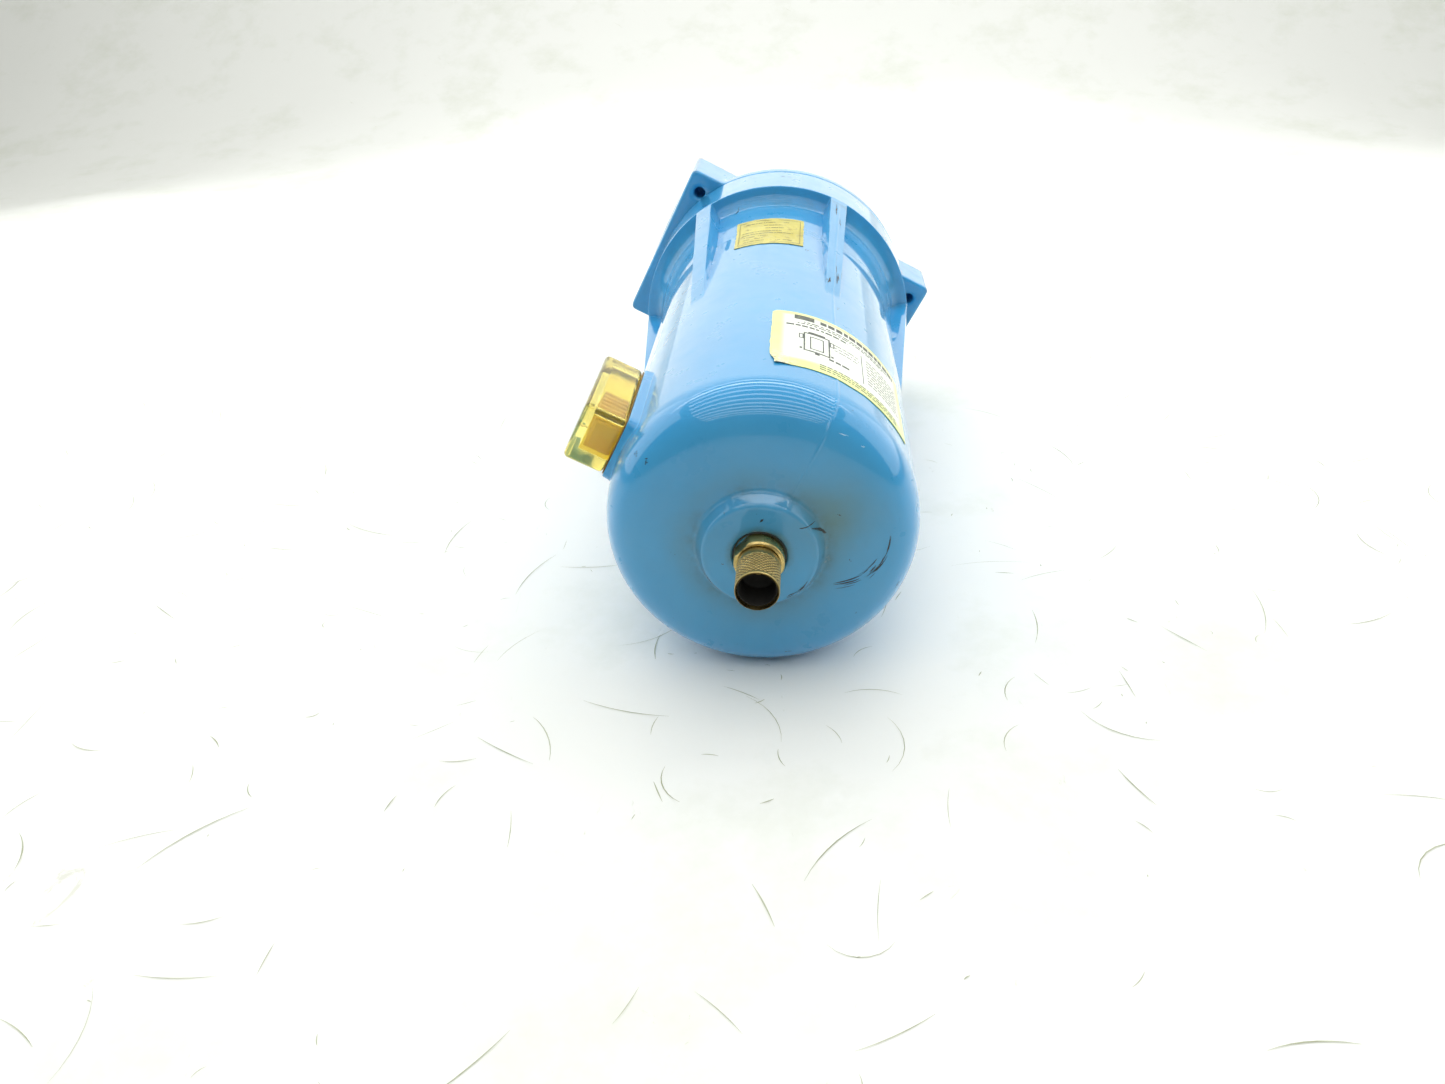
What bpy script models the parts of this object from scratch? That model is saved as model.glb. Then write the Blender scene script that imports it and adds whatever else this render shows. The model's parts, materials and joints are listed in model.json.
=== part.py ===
"""Compressed air filter: ribbed cast bowl, ported head, element, float drain, level sight and gauge.

Lengths are in metres. Every piece is modelled upright, in the filter's own frame: Z runs up the
filter's axis from the drain boss at 0 to the head, X points to the outlet port, and -Y is the
side that carries the labels. The empty "lying_filter" then lays the whole filter on its side,
so that it rests on the bowl's end and one corner of the head, with the head away along +Y.
"""

import math

import bmesh
import bpy
from mathutils import Matrix, Vector

MM = 0.001

# Driving dimensions
BOWL_RADIUS = 52.8 * MM
BOWL_DRAFT = 0.75 * MM
COLLAR_RADIUS = 63.7 * MM
PORT_FACE = 66.7 * MM
PAD_HALF_WIDTH = 39.35 * MM
DOME_TOP = 23.5 * MM
COVE_START = 184.0 * MM
COLLAR_FRONT = 222.5 * MM
JOINT_PLANE = 251.6 * MM
GAP = 0.3 * MM

# Bowl
DOME_DEPTH = 17.5 * MM
DOME_CROWN = 1.2 * MM
DOME_POWER = 8.5
BOSS_FACE_RADIUS = 18.8 * MM
BOSS_BASE_RADIUS = 21.3 * MM
DRAIN_HOLE_RADIUS = 6.95 * MM
COVE_SWEEP = math.radians(70)
RIB_COUNT = 6
RIB_START = 116.0 * MM
RIB_CREST_HALF = math.radians(3.75)
RIB_ROOT_HALF = math.radians(7.0)
BOWL_INNER_RADIUS = 48.3 * MM
INNER_DOME_TOP = 26.0 * MM
INNER_DOME_DEPTH = 15.4 * MM
NECK_RADIUS = 50.0 * MM
NECK_BORE = 45.5 * MM
NECK_TOP = 264.6 * MM

# Head
HEAD_TOP = 316.0 * MM
PAD_STRAIGHT_TOP = 281.4 * MM
PAD_TOP_HALF_WIDTH = 24.0 * MM
PORT_HEIGHT = 285.6 * MM
PORT_RADIUS = 15.3 * MM
PORT_MOUTH_RADIUS = 17.2 * MM
PORT_DEPTH = 24.0 * MM
PASSAGE_RADIUS = 12.0 * MM
SOCKET_RADIUS = 50.4 * MM
SOCKET_TOP = 265.2 * MM
SPIGOT_BORE = 15.4 * MM
GAUGE_BOSS_TOP = 320.0 * MM
GAUGE_BOSS_HALF = 22.5 * MM
GAUGE_SCREW = 17.5 * MM
MOUNT_HOLE_X = 59.1 * MM
MOUNT_HOLE_Y = -30.1 * MM
MOUNT_HOLE_RADIUS = 2.6 * MM

# Sight glass, on the side away from the outlet port
SIGHT_BASE = 55.9 * MM
SIGHT_FRONT = 69.4 * MM
SIGHT_HALF_WIDTH = 11.0 * MM
SIGHT_LOW = 25.8 * MM
SIGHT_HIGH = 69.0 * MM
SIGHT_WALL = 3.8 * MM
SIGHT_PAD_FACE = 54.7 * MM
SIGHT_PAD_MARGIN = 1.6 * MM
SIGHT_SLOT_HEIGHTS = (37.4 * MM, 47.4 * MM, 57.4 * MM)
LEVEL_FLOAT_LENGTH = 15.0 * MM

# Filter element
ELEMENT_RADIUS = 36.5 * MM
ELEMENT_BOTTOM = 76.0 * MM
ELEMENT_TOP = 246.0 * MM
SPIGOT_RADIUS = 14.9 * MM
SPIGOT_TOP = 279.0 * MM

# Float drain
STEM_RADIUS = 7.0 * MM
STEM_MOUTH = -20.4 * MM
NUT_RADIUS = 8.24 * MM
NUT_FLAT = 7.6 * MM
LEVER_PIN_X = 9.5 * MM
LEVER_PIN_Z = 61.0 * MM
LEVER_PIN_HOLE = 1.2 * MM
FLOAT_POST_X = -12.0 * MM

# Lying position
ROLL = math.radians(28.1)

LARGE = 48
MEDIUM = 32
SMALL = 20


def clear_scene():
    for item in list(bpy.data.objects):
        bpy.data.objects.remove(item)


def make_material(name, colour, roughness, metallic=0.0, transmission=0.0):
    material = bpy.data.materials.new(name)
    material.use_nodes = True
    shader = material.node_tree.nodes["Principled BSDF"]
    shader.inputs["Base Color"].default_value = (*colour, 1.0)
    shader.inputs["Roughness"].default_value = roughness
    shader.inputs["Metallic"].default_value = metallic
    shader.inputs["Transmission Weight"].default_value = transmission
    return material


def add_object(name, shape, frame, material=None, origin=(0, 0, 0)):
    """Makes an object of a bmesh whose points are in the filter's own frame."""
    bmesh.ops.translate(shape, vec=-Vector(origin), verts=shape.verts)
    bmesh.ops.recalc_face_normals(shape, faces=shape.faces)
    mesh = bpy.data.meshes.new(name)
    shape.to_mesh(mesh)
    shape.free()
    mesh.shade_smooth()
    mesh.set_sharp_from_angle(angle=math.radians(32))
    if material:
        mesh.materials.append(material)
    item = bpy.data.objects.new(name, mesh)
    item.location = origin
    item.parent = frame
    bpy.context.collection.objects.link(item)
    return item


def combine(target, tool_shape, frame, operation="DIFFERENCE"):
    """Cuts a bmesh from the target, or joins it on, with an exact Boolean."""
    tool = add_object(f"{target.name}_tool", tool_shape, frame)
    tool.hide_render = True
    tool.display_type = "WIRE"
    modifier = target.modifiers.new(operation.lower(), "BOOLEAN")
    modifier.operation = operation
    modifier.solver = "EXACT"
    modifier.object = tool


def skin_rings(shape, rings):
    """Joins rings of points, each to the next and the last to the first; one point is a pole."""
    loops = [[shape.verts.new(point) for point in ring] for ring in rings]
    for lower, upper in zip(loops, loops[1:] + loops[:1]):
        count = max(len(lower), len(upper))
        for i in range(count):
            j = (i + 1) % count
            if len(lower) == 1 and len(upper) == 1:
                break
            if len(lower) == 1:
                shape.faces.new((lower[0], upper[j], upper[i]))
            elif len(upper) == 1:
                shape.faces.new((lower[i], lower[j], upper[0]))
            else:
                shape.faces.new((lower[i], lower[j], upper[j], upper[i]))


def lathe(profile, segments=MEDIUM, centre=(0, 0)):
    """Turns a closed outline of (radius, height) points about an axis along Z."""
    shape = bmesh.new()
    rings = []
    for radius, height in profile:
        count = segments if radius > 0 else 1
        rings.append([
            (
                centre[0] + radius * math.cos(math.tau * i / segments),
                centre[1] + radius * math.sin(math.tau * i / segments),
                height,
            )
            for i in range(count)
        ])
    skin_rings(shape, rings)
    return shape


def in_mm(*points):
    return [(a * MM, b * MM) for a, b in points]


def tube(inner, outer, low, high, segments=MEDIUM):
    return lathe([(inner, low), (outer, low), (outer, high), (inner, high)], segments)


def rod(start, end, radius, segments=SMALL):
    """A solid cylinder between two points."""
    start, end = Vector(start), Vector(end)
    length = (end - start).length
    shape = lathe([(0, 0), (radius, 0), (radius, length), (0, length)], segments)
    turn = (end - start).to_track_quat("Z", "Y").to_matrix().to_4x4()
    turn.translation = start
    bmesh.ops.transform(shape, matrix=turn, verts=shape.verts)
    return shape


def rod_across(x, z, half_length, radius):
    """A thin rod along Y."""
    return rod((x, -half_length, z), (x, half_length, z), radius, 16)


def block(low, high, bevel=0.0, along=None, segments=3):
    """A box between two corners; its edges along one axis, or all of them, can be rounded."""
    shape = bmesh.new()
    bmesh.ops.create_cube(shape, size=1.0)
    low, high = Vector(low), Vector(high)
    bmesh.ops.scale(shape, vec=high - low, verts=shape.verts)
    bmesh.ops.translate(shape, vec=(low + high) / 2, verts=shape.verts)
    if bevel:
        edges = [e for e in shape.edges if along is None or runs_along(e, along)]
        bmesh.ops.bevel(shape, geom=edges, offset=bevel, segments=segments, affect="EDGES", profile=0.5)
    return shape


def runs_along(edge, axis):
    direction = edge.verts[1].co - edge.verts[0].co
    return abs(direction[axis]) > 0.99 * direction.length


def prism_along_x(outline, half_length):
    """Extrudes an outline of (y, z) points along X, both ways from the middle."""
    shape = bmesh.new()
    base = shape.faces.new([shape.verts.new((-half_length, y, z)) for y, z in outline])
    far = bmesh.ops.extrude_face_region(shape, geom=[base])
    moved = [v for v in far["geom"] if isinstance(v, bmesh.types.BMVert)]
    bmesh.ops.translate(shape, vec=(2 * half_length, 0, 0), verts=moved)
    return shape


def ring_seal(radius, thickness, height, segments=28, centre=(0, 0)):
    """An O-ring; radius is to the middle of its cord."""
    sides = 6
    turns = [math.tau * i / sides for i in range(sides)]
    return lathe(
        [(radius + thickness / 2 * math.cos(t), height + thickness / 2 * math.sin(t)) for t in turns],
        segments,
        centre,
    )


# ---------------------------------------------------------------- bowl


def body_radius(height):
    """The bowl's wall between the dome and the coves, with its casting draft."""
    share = (height - DOME_TOP) / (COVE_START - DOME_TOP)
    return BOWL_RADIUS + BOWL_DRAFT * min(max(share, 0), 1)


def cove_radius(height):
    """The wall between two ribs: straight, then flaring out to the collar on part of an ellipse."""
    wall = body_radius(height)
    if height <= COVE_START:
        return wall
    along = min((height - COVE_START) / (COLLAR_FRONT - COVE_START), 1)
    turn = math.asin(along * math.sin(COVE_SWEEP))
    return wall + (COLLAR_RADIUS - wall) * (1 - math.cos(turn)) / (1 - math.cos(COVE_SWEEP))


def ribbed_radius(height, off_rib):
    """The outer radius at an angle off the nearest rib's middle."""
    base = cove_radius(height)
    along = (height - RIB_START) / (COLLAR_FRONT - RIB_START)
    start = body_radius(RIB_START)
    crest = max(base, start + (COLLAR_RADIUS - start) * min(max(along, 0), 1))
    share = (RIB_ROOT_HALF - abs(off_rib)) / (RIB_ROOT_HALF - RIB_CREST_HALF)
    return base + (crest - base) * min(max(share, 0), 1)


def dome_points(radius, top, depth, first_turn, steps):
    """Points down a flat-ended dome, from its middle out to its rim."""
    points = []
    for i in range(steps + 1):
        turn = first_turn + (math.pi / 2 - first_turn) * i / steps
        share = math.sin(turn) ** (2 / DOME_POWER)
        height = top - depth * math.cos(turn) - DOME_CROWN * (1 - share**2)
        points.append((radius * share, height))
    return points


def bowl_columns():
    """Angles round the bowl, as (angle, angle off the nearest rib)."""
    between = [math.radians(a) for a in (14, 22, 30)]
    half = [RIB_CREST_HALF, RIB_ROOT_HALF] + between
    offsets = [-a for a in reversed(half[:-1])] + half
    columns = []
    for rib in range(RIB_COUNT):
        middle = math.radians(30) + math.tau * rib / RIB_COUNT
        columns += [(middle + offset, offset) for offset in offsets]
    return columns


def build_bowl(frame, paint):
    columns = bowl_columns()
    rings = []

    def add_ring(radius_of, height):
        rings.append([
            (radius_of(off) * math.cos(a), radius_of(off) * math.sin(a), height) for a, off in columns
        ])

    def add_round(points):
        for radius, height in points:
            add_ring(lambda off, radius=radius: radius, height)

    dome = dome_points(BOWL_RADIUS, DOME_TOP, DOME_DEPTH, math.radians(7), 6)
    boss_foot = DOME_TOP - DOME_DEPTH - DOME_CROWN * 0.84
    add_round([(DRAIN_HOLE_RADIUS, 0), (BOSS_FACE_RADIUS, 0), (BOSS_BASE_RADIUS, boss_foot)])
    add_round(dome)
    cove_steps = [0, 0.15, 0.3, 0.42, 0.56, 0.78, 0.92, 1]
    heights = [RIB_START, (RIB_START + COVE_START) / 2]
    heights += [COVE_START + (COLLAR_FRONT - COVE_START) * share for share in cove_steps]
    heights += [JOINT_PLANE - GAP]
    for height in heights:
        add_ring(lambda off, height=height: ribbed_radius(height, off), height)
    add_round([
        (NECK_RADIUS, JOINT_PLANE - GAP),
        (NECK_RADIUS, NECK_TOP),
        (NECK_BORE, NECK_TOP),
        (NECK_BORE, 250 * MM),
        (BOWL_INNER_RADIUS, 244 * MM),
    ])
    inner_dome = dome_points(BOWL_INNER_RADIUS, INNER_DOME_TOP, INNER_DOME_DEPTH, math.radians(12), 3)
    add_round(reversed(inner_dome))
    inner_floor = INNER_DOME_TOP - INNER_DOME_DEPTH - DOME_CROWN
    add_round([(DRAIN_HOLE_RADIUS, inner_floor)])

    shape = bmesh.new()
    skin_rings(shape, rings)
    bowl = add_object("bowl", shape, frame, paint)
    sight_pad = block(
        (-SIGHT_PAD_FACE, -SIGHT_HALF_WIDTH - SIGHT_PAD_MARGIN, SIGHT_LOW - SIGHT_PAD_MARGIN),
        (-49.0 * MM, SIGHT_HALF_WIDTH + SIGHT_PAD_MARGIN, SIGHT_HIGH + SIGHT_PAD_MARGIN),
        bevel=3 * MM,
        along=0,
    )
    combine(bowl, sight_pad, frame, "UNION")
    for height in SIGHT_SLOT_HEIGHTS:
        low = (-60 * MM, -2 * MM, height - 1.7 * MM)
        high = (-44 * MM, 2 * MM, height + 1.7 * MM)
        combine(bowl, block(low, high), frame)


def wrapped_sheet(first_angle, last_angle, low, high, clearance, thickness, columns=12, rows=4):
    """A thin sheet that follows the bowl's wall between two angles and two heights."""
    shape = bmesh.new()
    rings = []
    for layer in (clearance, clearance + thickness):
        layer_rings = []
        for row in range(rows + 1):
            height = low + (high - low) * row / rows
            radius = cove_radius(height) + layer
            angles = [first_angle + (last_angle - first_angle) * i / columns for i in range(columns + 1)]
            layer_rings.append([
                shape.verts.new((radius * math.cos(a), radius * math.sin(a), height)) for a in angles
            ])
        rings.append(layer_rings)
    inner, outer = rings
    for grid in rings:
        for low_row, high_row in zip(grid, grid[1:]):
            for i in range(columns):
                shape.faces.new((low_row[i], low_row[i + 1], high_row[i + 1], high_row[i]))
    for i in range(columns):
        for row in (0, rows):
            shape.faces.new((inner[row][i], inner[row][i + 1], outer[row][i + 1], outer[row][i]))
    for row in range(rows):
        for i in (0, columns):
            shape.faces.new((inner[row][i], inner[row + 1][i], outer[row + 1][i], outer[row][i]))
    return shape


def build_labels(frame, print_film, foil):
    rating = wrapped_sheet(
        math.radians(-115), math.radians(-54.5), 32.4 * MM, 81.7 * MM, 0.12 * MM, 0.25 * MM
    )
    add_object("rating_label", rating, frame, print_film)
    plate = wrapped_sheet(
        math.radians(-135.4), math.radians(-103.6), 164.7 * MM, 199.6 * MM, 0.15 * MM, 0.25 * MM, 6, 6
    )
    add_object("nameplate", plate, frame, foil)


def build_sight_glass(frame, amber, rubber, float_plastic):
    half = SIGHT_HALF_WIDTH
    glass = add_object(
        "sight_glass",
        block((-SIGHT_FRONT, -half, SIGHT_LOW), (-SIGHT_BASE, half, SIGHT_HIGH), bevel=1.6 * MM, segments=2),
        frame,
        amber,
    )
    cavity_half = half - SIGHT_WALL
    cavity_low = SIGHT_LOW + SIGHT_WALL
    cavity_high = SIGHT_HIGH - SIGHT_WALL
    cavity_front = -SIGHT_FRONT + SIGHT_WALL
    low = (cavity_front, -cavity_half, cavity_low)
    high = (-50 * MM, cavity_half, cavity_high)
    combine(glass, block(low, high, bevel=1 * MM, along=0, segments=2), frame)

    gasket = add_object(
        "sight_glass_gasket",
        block(
            (-SIGHT_BASE + GAP, -half, SIGHT_LOW), (-SIGHT_PAD_FACE - GAP, half, SIGHT_HIGH), 1.6 * MM, 0, 2
        ),
        frame,
        rubber,
    )
    window = block((-60 * MM, -cavity_half, cavity_low), (-50 * MM, cavity_half, cavity_high))
    combine(gasket, window, frame)

    float_middle = (cavity_front - SIGHT_BASE + GAP) / 2
    float_low = cavity_low + 1 * MM
    level_float = block(
        (cavity_front + 1 * MM, -cavity_half + 1 * MM, float_low),
        (-SIGHT_BASE, cavity_half - 1 * MM, float_low + LEVEL_FLOAT_LENGTH),
        1.2 * MM,
        2,
        2,
    )
    add_object("level_float", level_float, frame, float_plastic, (float_middle, 0, float_low))


# ---------------------------------------------------------------- head


def build_head(frame, paint, rubber):
    top = HEAD_TOP / MM
    skirt = in_mm((0, 250), (63.7, 250), (63.7, 259.4), (62.9, 260.2), (57.5, 262.5), (56.5, 284))
    skirt += in_mm((53, 298), (45, 309), (34, top), (0, top))
    head = add_object("head", lathe(skirt, LARGE), frame, paint)

    below = JOINT_PLANE - 3 * MM
    outline = [
        (-PAD_HALF_WIDTH, below),
        (PAD_HALF_WIDTH, below),
        (PAD_HALF_WIDTH, PAD_STRAIGHT_TOP),
        (PAD_TOP_HALF_WIDTH, HEAD_TOP - 1 * MM),
        (-PAD_TOP_HALF_WIDTH, HEAD_TOP - 1 * MM),
        (-PAD_HALF_WIDTH, PAD_STRAIGHT_TOP),
    ]
    pads = prism_along_x(outline, PORT_FACE)
    corners = [e for e in pads.edges if runs_along(e, 2)]
    bmesh.ops.bevel(pads, geom=corners, offset=2.4 * MM, segments=3, affect="EDGES", profile=0.5)
    combine(head, pads, frame, "UNION")
    half = GAUGE_BOSS_HALF
    gauge_boss = block((-half, -half, 308 * MM), (half, half, GAUGE_BOSS_TOP), 4 * MM, 2)
    combine(head, gauge_boss, frame, "UNION")

    for cut in head_cuts():
        combine(head, cut, frame)
    add_object("bowl_seal", ring_seal(51.15 * MM, 1.8 * MM, 258.2 * MM, LARGE), frame, rubber)


def head_cuts():
    """What is machined off the casting: its underside, bowl socket, ports, taps and blind holes."""
    socket = SOCKET_RADIUS / MM
    bore = SPIGOT_BORE / MM
    roof = SOCKET_TOP / MM
    well = in_mm((0, 240), (socket, 240), (socket, 256.8), (52.3, 256.8), (52.3, 259.6), (socket, 259.6))
    well += in_mm((socket, roof), (bore, roof), (bore, 283), (0, 283))
    underside = block((-80 * MM, -80 * MM, 240 * MM), (80 * MM, 80 * MM, JOINT_PLANE))
    cuts = [underside, lathe(well, LARGE), port_cut(-1, -8 * MM), port_cut(1, 24 * MM)]
    cuts.append(rod((34 * MM, 0, 262 * MM), (34 * MM, 0, 283 * MM), 9 * MM))
    cuts.append(rod((-12 * MM, 0, 288 * MM), (-12 * MM, 0, 325 * MM), 2 * MM, 12))
    cuts.append(rod((30 * MM, 0, 291 * MM), (8 * MM, 0, 322 * MM), 2 * MM, 12))
    for x in (-MOUNT_HOLE_X, MOUNT_HOLE_X):
        start = (x, MOUNT_HOLE_Y, 245 * MM)
        end = (x, MOUNT_HOLE_Y, JOINT_PLANE + 12 * MM)
        cuts.append(rod(start, end, MOUNT_HOLE_RADIUS, 20))
    for x, y in gauge_screw_places():
        cuts.append(rod((x, y, 311 * MM), (x, y, 325 * MM), 2 * MM, 16))
    return cuts


def port_cut(side, passage_end):
    """A tapped port with its countersunk mouth, and the passage behind it."""
    depth = PORT_FACE - PORT_DEPTH
    chamfer = PORT_MOUTH_RADIUS - PORT_RADIUS
    shape = lathe(
        [
            (0, passage_end),
            (PASSAGE_RADIUS, passage_end),
            (PASSAGE_RADIUS, depth),
            (PORT_RADIUS, depth),
            (PORT_RADIUS, PORT_FACE - chamfer),
            (PORT_MOUTH_RADIUS, PORT_FACE),
            (PORT_MOUTH_RADIUS, PORT_FACE + 2 * MM),
            (0, PORT_FACE + 2 * MM),
        ],
        LARGE // 2,
    )
    turn = Vector((side, 0, 0)).to_track_quat("Z", "Y").to_matrix().to_4x4()
    turn.translation = (0, 0, PORT_HEIGHT)
    bmesh.ops.transform(shape, matrix=turn, verts=shape.verts)
    return shape


# ---------------------------------------------------------------- filter element


def build_element(frame, cap_plastic, steel, media, foam, rubber):
    outer = ELEMENT_RADIUS / MM
    low = ELEMENT_BOTTOM / MM
    high = ELEMENT_TOP / MM
    spigot = SPIGOT_RADIUS / MM
    tip = SPIGOT_TOP / MM
    top_cap = in_mm((10, tip), (14.2, tip), (spigot, tip - 0.8), (spigot, 276.3), (13, 276.3), (13, 274))
    top_cap += in_mm((spigot, 274), (spigot, 272.3), (13, 272.3), (13, 270), (spigot, 270), (spigot, 249))
    top_cap += in_mm((18, high), (outer, high), (outer, 232), (35.7, 232), (35.7, 238), (18.5, 238))
    top_cap += in_mm((18.5, 234), (10, 234))
    add_object("element_top_cap", lathe(top_cap), frame, cap_plastic)
    bottom_cap = in_mm((0, low), (33, low), (outer, 79), (outer, 90), (35.7, 90), (35.7, 84), (18.5, 84))
    bottom_cap += in_mm((18.5, 88), (0, 88))
    add_object("element_bottom_cap", lathe(bottom_cap), frame, cap_plastic)

    layers = (
        ("element_inner_core", 18.8, 19.8, steel),
        ("element_media", 20.1, 31.2, media),
        ("element_outer_core", 31.5, 32.5, steel),
        ("element_foam_sleeve", 32.8, 35.4, foam),
    )
    for name, inner, edge, material in layers:
        add_object(name, tube(inner * MM, edge * MM, 84.3 * MM, 237.7 * MM), frame, material)
    for name, height in (("spigot_seal_lower", 271.15), ("spigot_seal_upper", 275.15)):
        add_object(name, ring_seal(14.15 * MM, 1.7 * MM, height * MM), frame, rubber)


# ---------------------------------------------------------------- float drain


def build_drain(frame, brass, plastic, rubber, steel, foam):
    body = in_mm((5, -4.6), (6.6, -4.6), (6.6, 11), (13, 11), (13, 14), (6.4, 15.5), (6.4, 54), (1.2, 54))
    body += in_mm((1.2, 50), (3, 48), (3, 17), (5, 15))
    drain_body = add_object("drain_body", lathe(body, 28), frame, brass)
    for side in (-1, 1):
        low, high = sorted((side * 2.4 * MM, side * 4.0 * MM))
        combine(drain_body, block((5 * MM, low, 49 * MM), (12.6 * MM, high, 64.5 * MM)), frame, "UNION")
    combine(drain_body, rod_across(LEVER_PIN_X, LEVER_PIN_Z, 6 * MM, LEVER_PIN_HOLE), frame)
    add_object("drain_gasket", tube(7.2 * MM, 12.4 * MM, 9.75 * MM, 10.7 * MM, 24), frame, rubber)

    edge = NUT_RADIUS / MM
    nut = in_mm((6.95, -5), (edge - 0.64, -5), (edge, -4.3), (edge, -0.3), (6.95, -0.3))
    drain_nut = add_object("drain_nut", lathe(nut, 36), frame, brass)
    for turn in (math.radians(-165), math.radians(15)):
        flat = block((NUT_FLAT, -9 * MM, -8 * MM), (12 * MM, 9 * MM, 2 * MM))
        bmesh.ops.rotate(flat, matrix=Matrix.Rotation(turn, 3, "Z"), verts=flat.verts)
        combine(drain_nut, flat, frame)

    edge = STEM_RADIUS / MM
    mouth = STEM_MOUTH / MM
    stem = in_mm((6.6, mouth), (edge, mouth + 0.2), (edge, -5.4), (4.6, -5.4), (4.6, 2.8), (3.6, 2.8))
    stem += in_mm((3.6, 5.2), (4.6, 5.2), (4.6, 9), (3.4, 11), (2.2, 11), (2.2, -7), (6.2, -9), (6.2, -19))
    add_object("drain_stem", lathe(stem, 28), frame, brass)
    add_object("drain_stem_seal", ring_seal(4.25 * MM, 1 * MM, 4 * MM, 28), frame, rubber)

    ball = in_mm((7.4, 19), (8.4, 18), (22, 18), (24, 20), (24, 36), (22, 38), (8.4, 38), (7.4, 37))
    drain_float = add_object("drain_float", lathe(ball, 28), frame, foam)
    post = rod((FLOAT_POST_X, 0, 36 * MM), (FLOAT_POST_X, 0, 58.8 * MM), 1.3 * MM, 12)
    combine(drain_float, post, frame, "UNION")

    pivot = (LEVER_PIN_X, 0, LEVER_PIN_Z)
    pin = rod_across(LEVER_PIN_X, LEVER_PIN_Z, 5 * MM, LEVER_PIN_HOLE - GAP)
    add_object("drain_lever_pin", pin, frame, steel, pivot)
    bar = block((-14 * MM, -2 * MM, 59.2 * MM), (12.4 * MM, 2 * MM, 62.8 * MM), 1 * MM, 2, 2)
    lever = add_object("drain_lever", bar, frame, steel, pivot)
    combine(lever, rod_across(LEVER_PIN_X, LEVER_PIN_Z, 4 * MM, LEVER_PIN_HOLE), frame)
    combine(lever, rod((0, 0, 55 * MM), (0, 0, 66 * MM), 1.5 * MM, 16), frame)
    valve = in_mm((0, 54.3), (2.2, 54.3), (2.2, 56), (0.5, 56.8), (0.5, 63.9), (2.6, 63.9), (2.6, 65.2))
    valve += in_mm((0, 65.2))
    add_object("drain_valve", lathe(valve, 16), frame, plastic)


# ---------------------------------------------------------------- differential pressure gauge


def gauge_screw_places():
    return [(x * GAUGE_SCREW, y * GAUGE_SCREW) for x in (-1, 1) for y in (-1, 1)]


def build_gauge_case(frame, black, steel, clear, rubber):
    drum = in_mm((0, 321.4), (18, 321.4), (18, 343), (15.5, 343), (15.5, 338), (0, 338))
    body = add_object("gauge_body", lathe(drum), frame, black)
    half = 22 * MM
    flange = block((-half, -half, 321.4 * MM), (half, half, 327 * MM), 4 * MM, 2)
    combine(body, flange, frame, "UNION")
    bore = in_mm((0, 320), (15.5, 320), (15.5, 322.6), (8, 322.6), (8, 334), (1.4, 334), (1.4, 340))
    bore += in_mm((0, 340))
    combine(body, lathe(bore), frame)
    for x, y in gauge_screw_places():
        combine(body, rod((x, y, 320 * MM), (x, y, 330 * MM), 2.1 * MM, 16), frame)

    add_object("gauge_gasket", tube(17 * MM, 20 * MM, 320.3 * MM, 321.1 * MM), frame, rubber)
    tap_seal = lathe(in_mm((3.2, 320.3), (4.8, 320.3), (4.8, 322.2), (3.2, 322.2)), 20, (9.4 * MM, 0))
    add_object("gauge_tap_seal", tap_seal, frame, rubber)

    bezel = in_mm((18.4, 339.5), (20.2, 339.5), (20.2, 347.2), (19, 348.5), (15.6, 348.5), (15.6, 347.2))
    bezel += in_mm((17.5, 347.2), (17.5, 343.5), (18.4, 343.5))
    add_object("gauge_bezel", lathe(bezel), frame, steel)
    lens = in_mm((0, 343.4), (17.1, 343.4), (17.1, 346.2), (15.2, 346.8), (0, 347.2))
    add_object("gauge_lens", lathe(lens), frame, clear)

    screw = in_mm((0, 313), (1.7, 313), (1.7, 327.3), (3.4, 327.3), (3.4, 330), (3.1, 330.4), (1.6, 330.4))
    screw += in_mm((1.6, 328.6), (0, 328.6))
    for number, place in enumerate(gauge_screw_places(), 1):
        add_object(f"gauge_screw_{number}", lathe(screw, 10, place), frame, steel)


def build_gauge_movement(frame, steel, dial_white, pointer_red, plastic):
    piston = in_mm((0, 323), (7.6, 323), (7.6, 327.4), (4, 327.4), (4, 328.6), (0, 328.6))
    add_object("gauge_piston", lathe(piston, 20), frame, plastic)
    add_object("gauge_spring", spring_shape(6.2 * MM, 0.4 * MM, 327.6 * MM, 333.8 * MM, 4), frame, steel)
    add_object("gauge_dial", tube(2.2 * MM, 15.1 * MM, 338.3 * MM, 339.2 * MM), frame, dial_white)

    spindle = rod((0, 0, 334.6 * MM), (0, 0, 341.4 * MM), 1 * MM, 12)
    pointer = add_object("gauge_pointer", spindle, frame, pointer_red)
    hub = rod((0, 0, 340 * MM), (0, 0, 342 * MM), 2.4 * MM, 16)
    combine(pointer, hub, frame, "UNION")
    needle = block((-12.5 * MM, -0.7 * MM, 340.3 * MM), (4 * MM, 0.7 * MM, 341.1 * MM))
    combine(pointer, needle, frame, "UNION")


def spring_shape(radius, wire, low, high, turns, steps=10, sides=6):
    """A coil spring of round wire, its ends closed."""
    shape = bmesh.new()
    rings = []
    for i in range(turns * steps + 1):
        turn = math.tau * i / steps
        height = low + wire + (high - low - 2 * wire) * i / (turns * steps)
        ring = []
        for side in range(sides):
            tilt = math.tau * side / sides
            out = radius + wire * math.cos(tilt)
            point = (out * math.cos(turn), out * math.sin(turn), height + wire * math.sin(tilt))
            ring.append(shape.verts.new(point))
        rings.append(ring)
    for lower, upper in zip(rings, rings[1:]):
        for i in range(sides):
            j = (i + 1) % sides
            shape.faces.new((lower[i], lower[j], upper[j], upper[i]))
    shape.faces.new(rings[0])
    shape.faces.new(rings[-1])
    return shape


# ---------------------------------------------------------------- assembly


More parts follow.
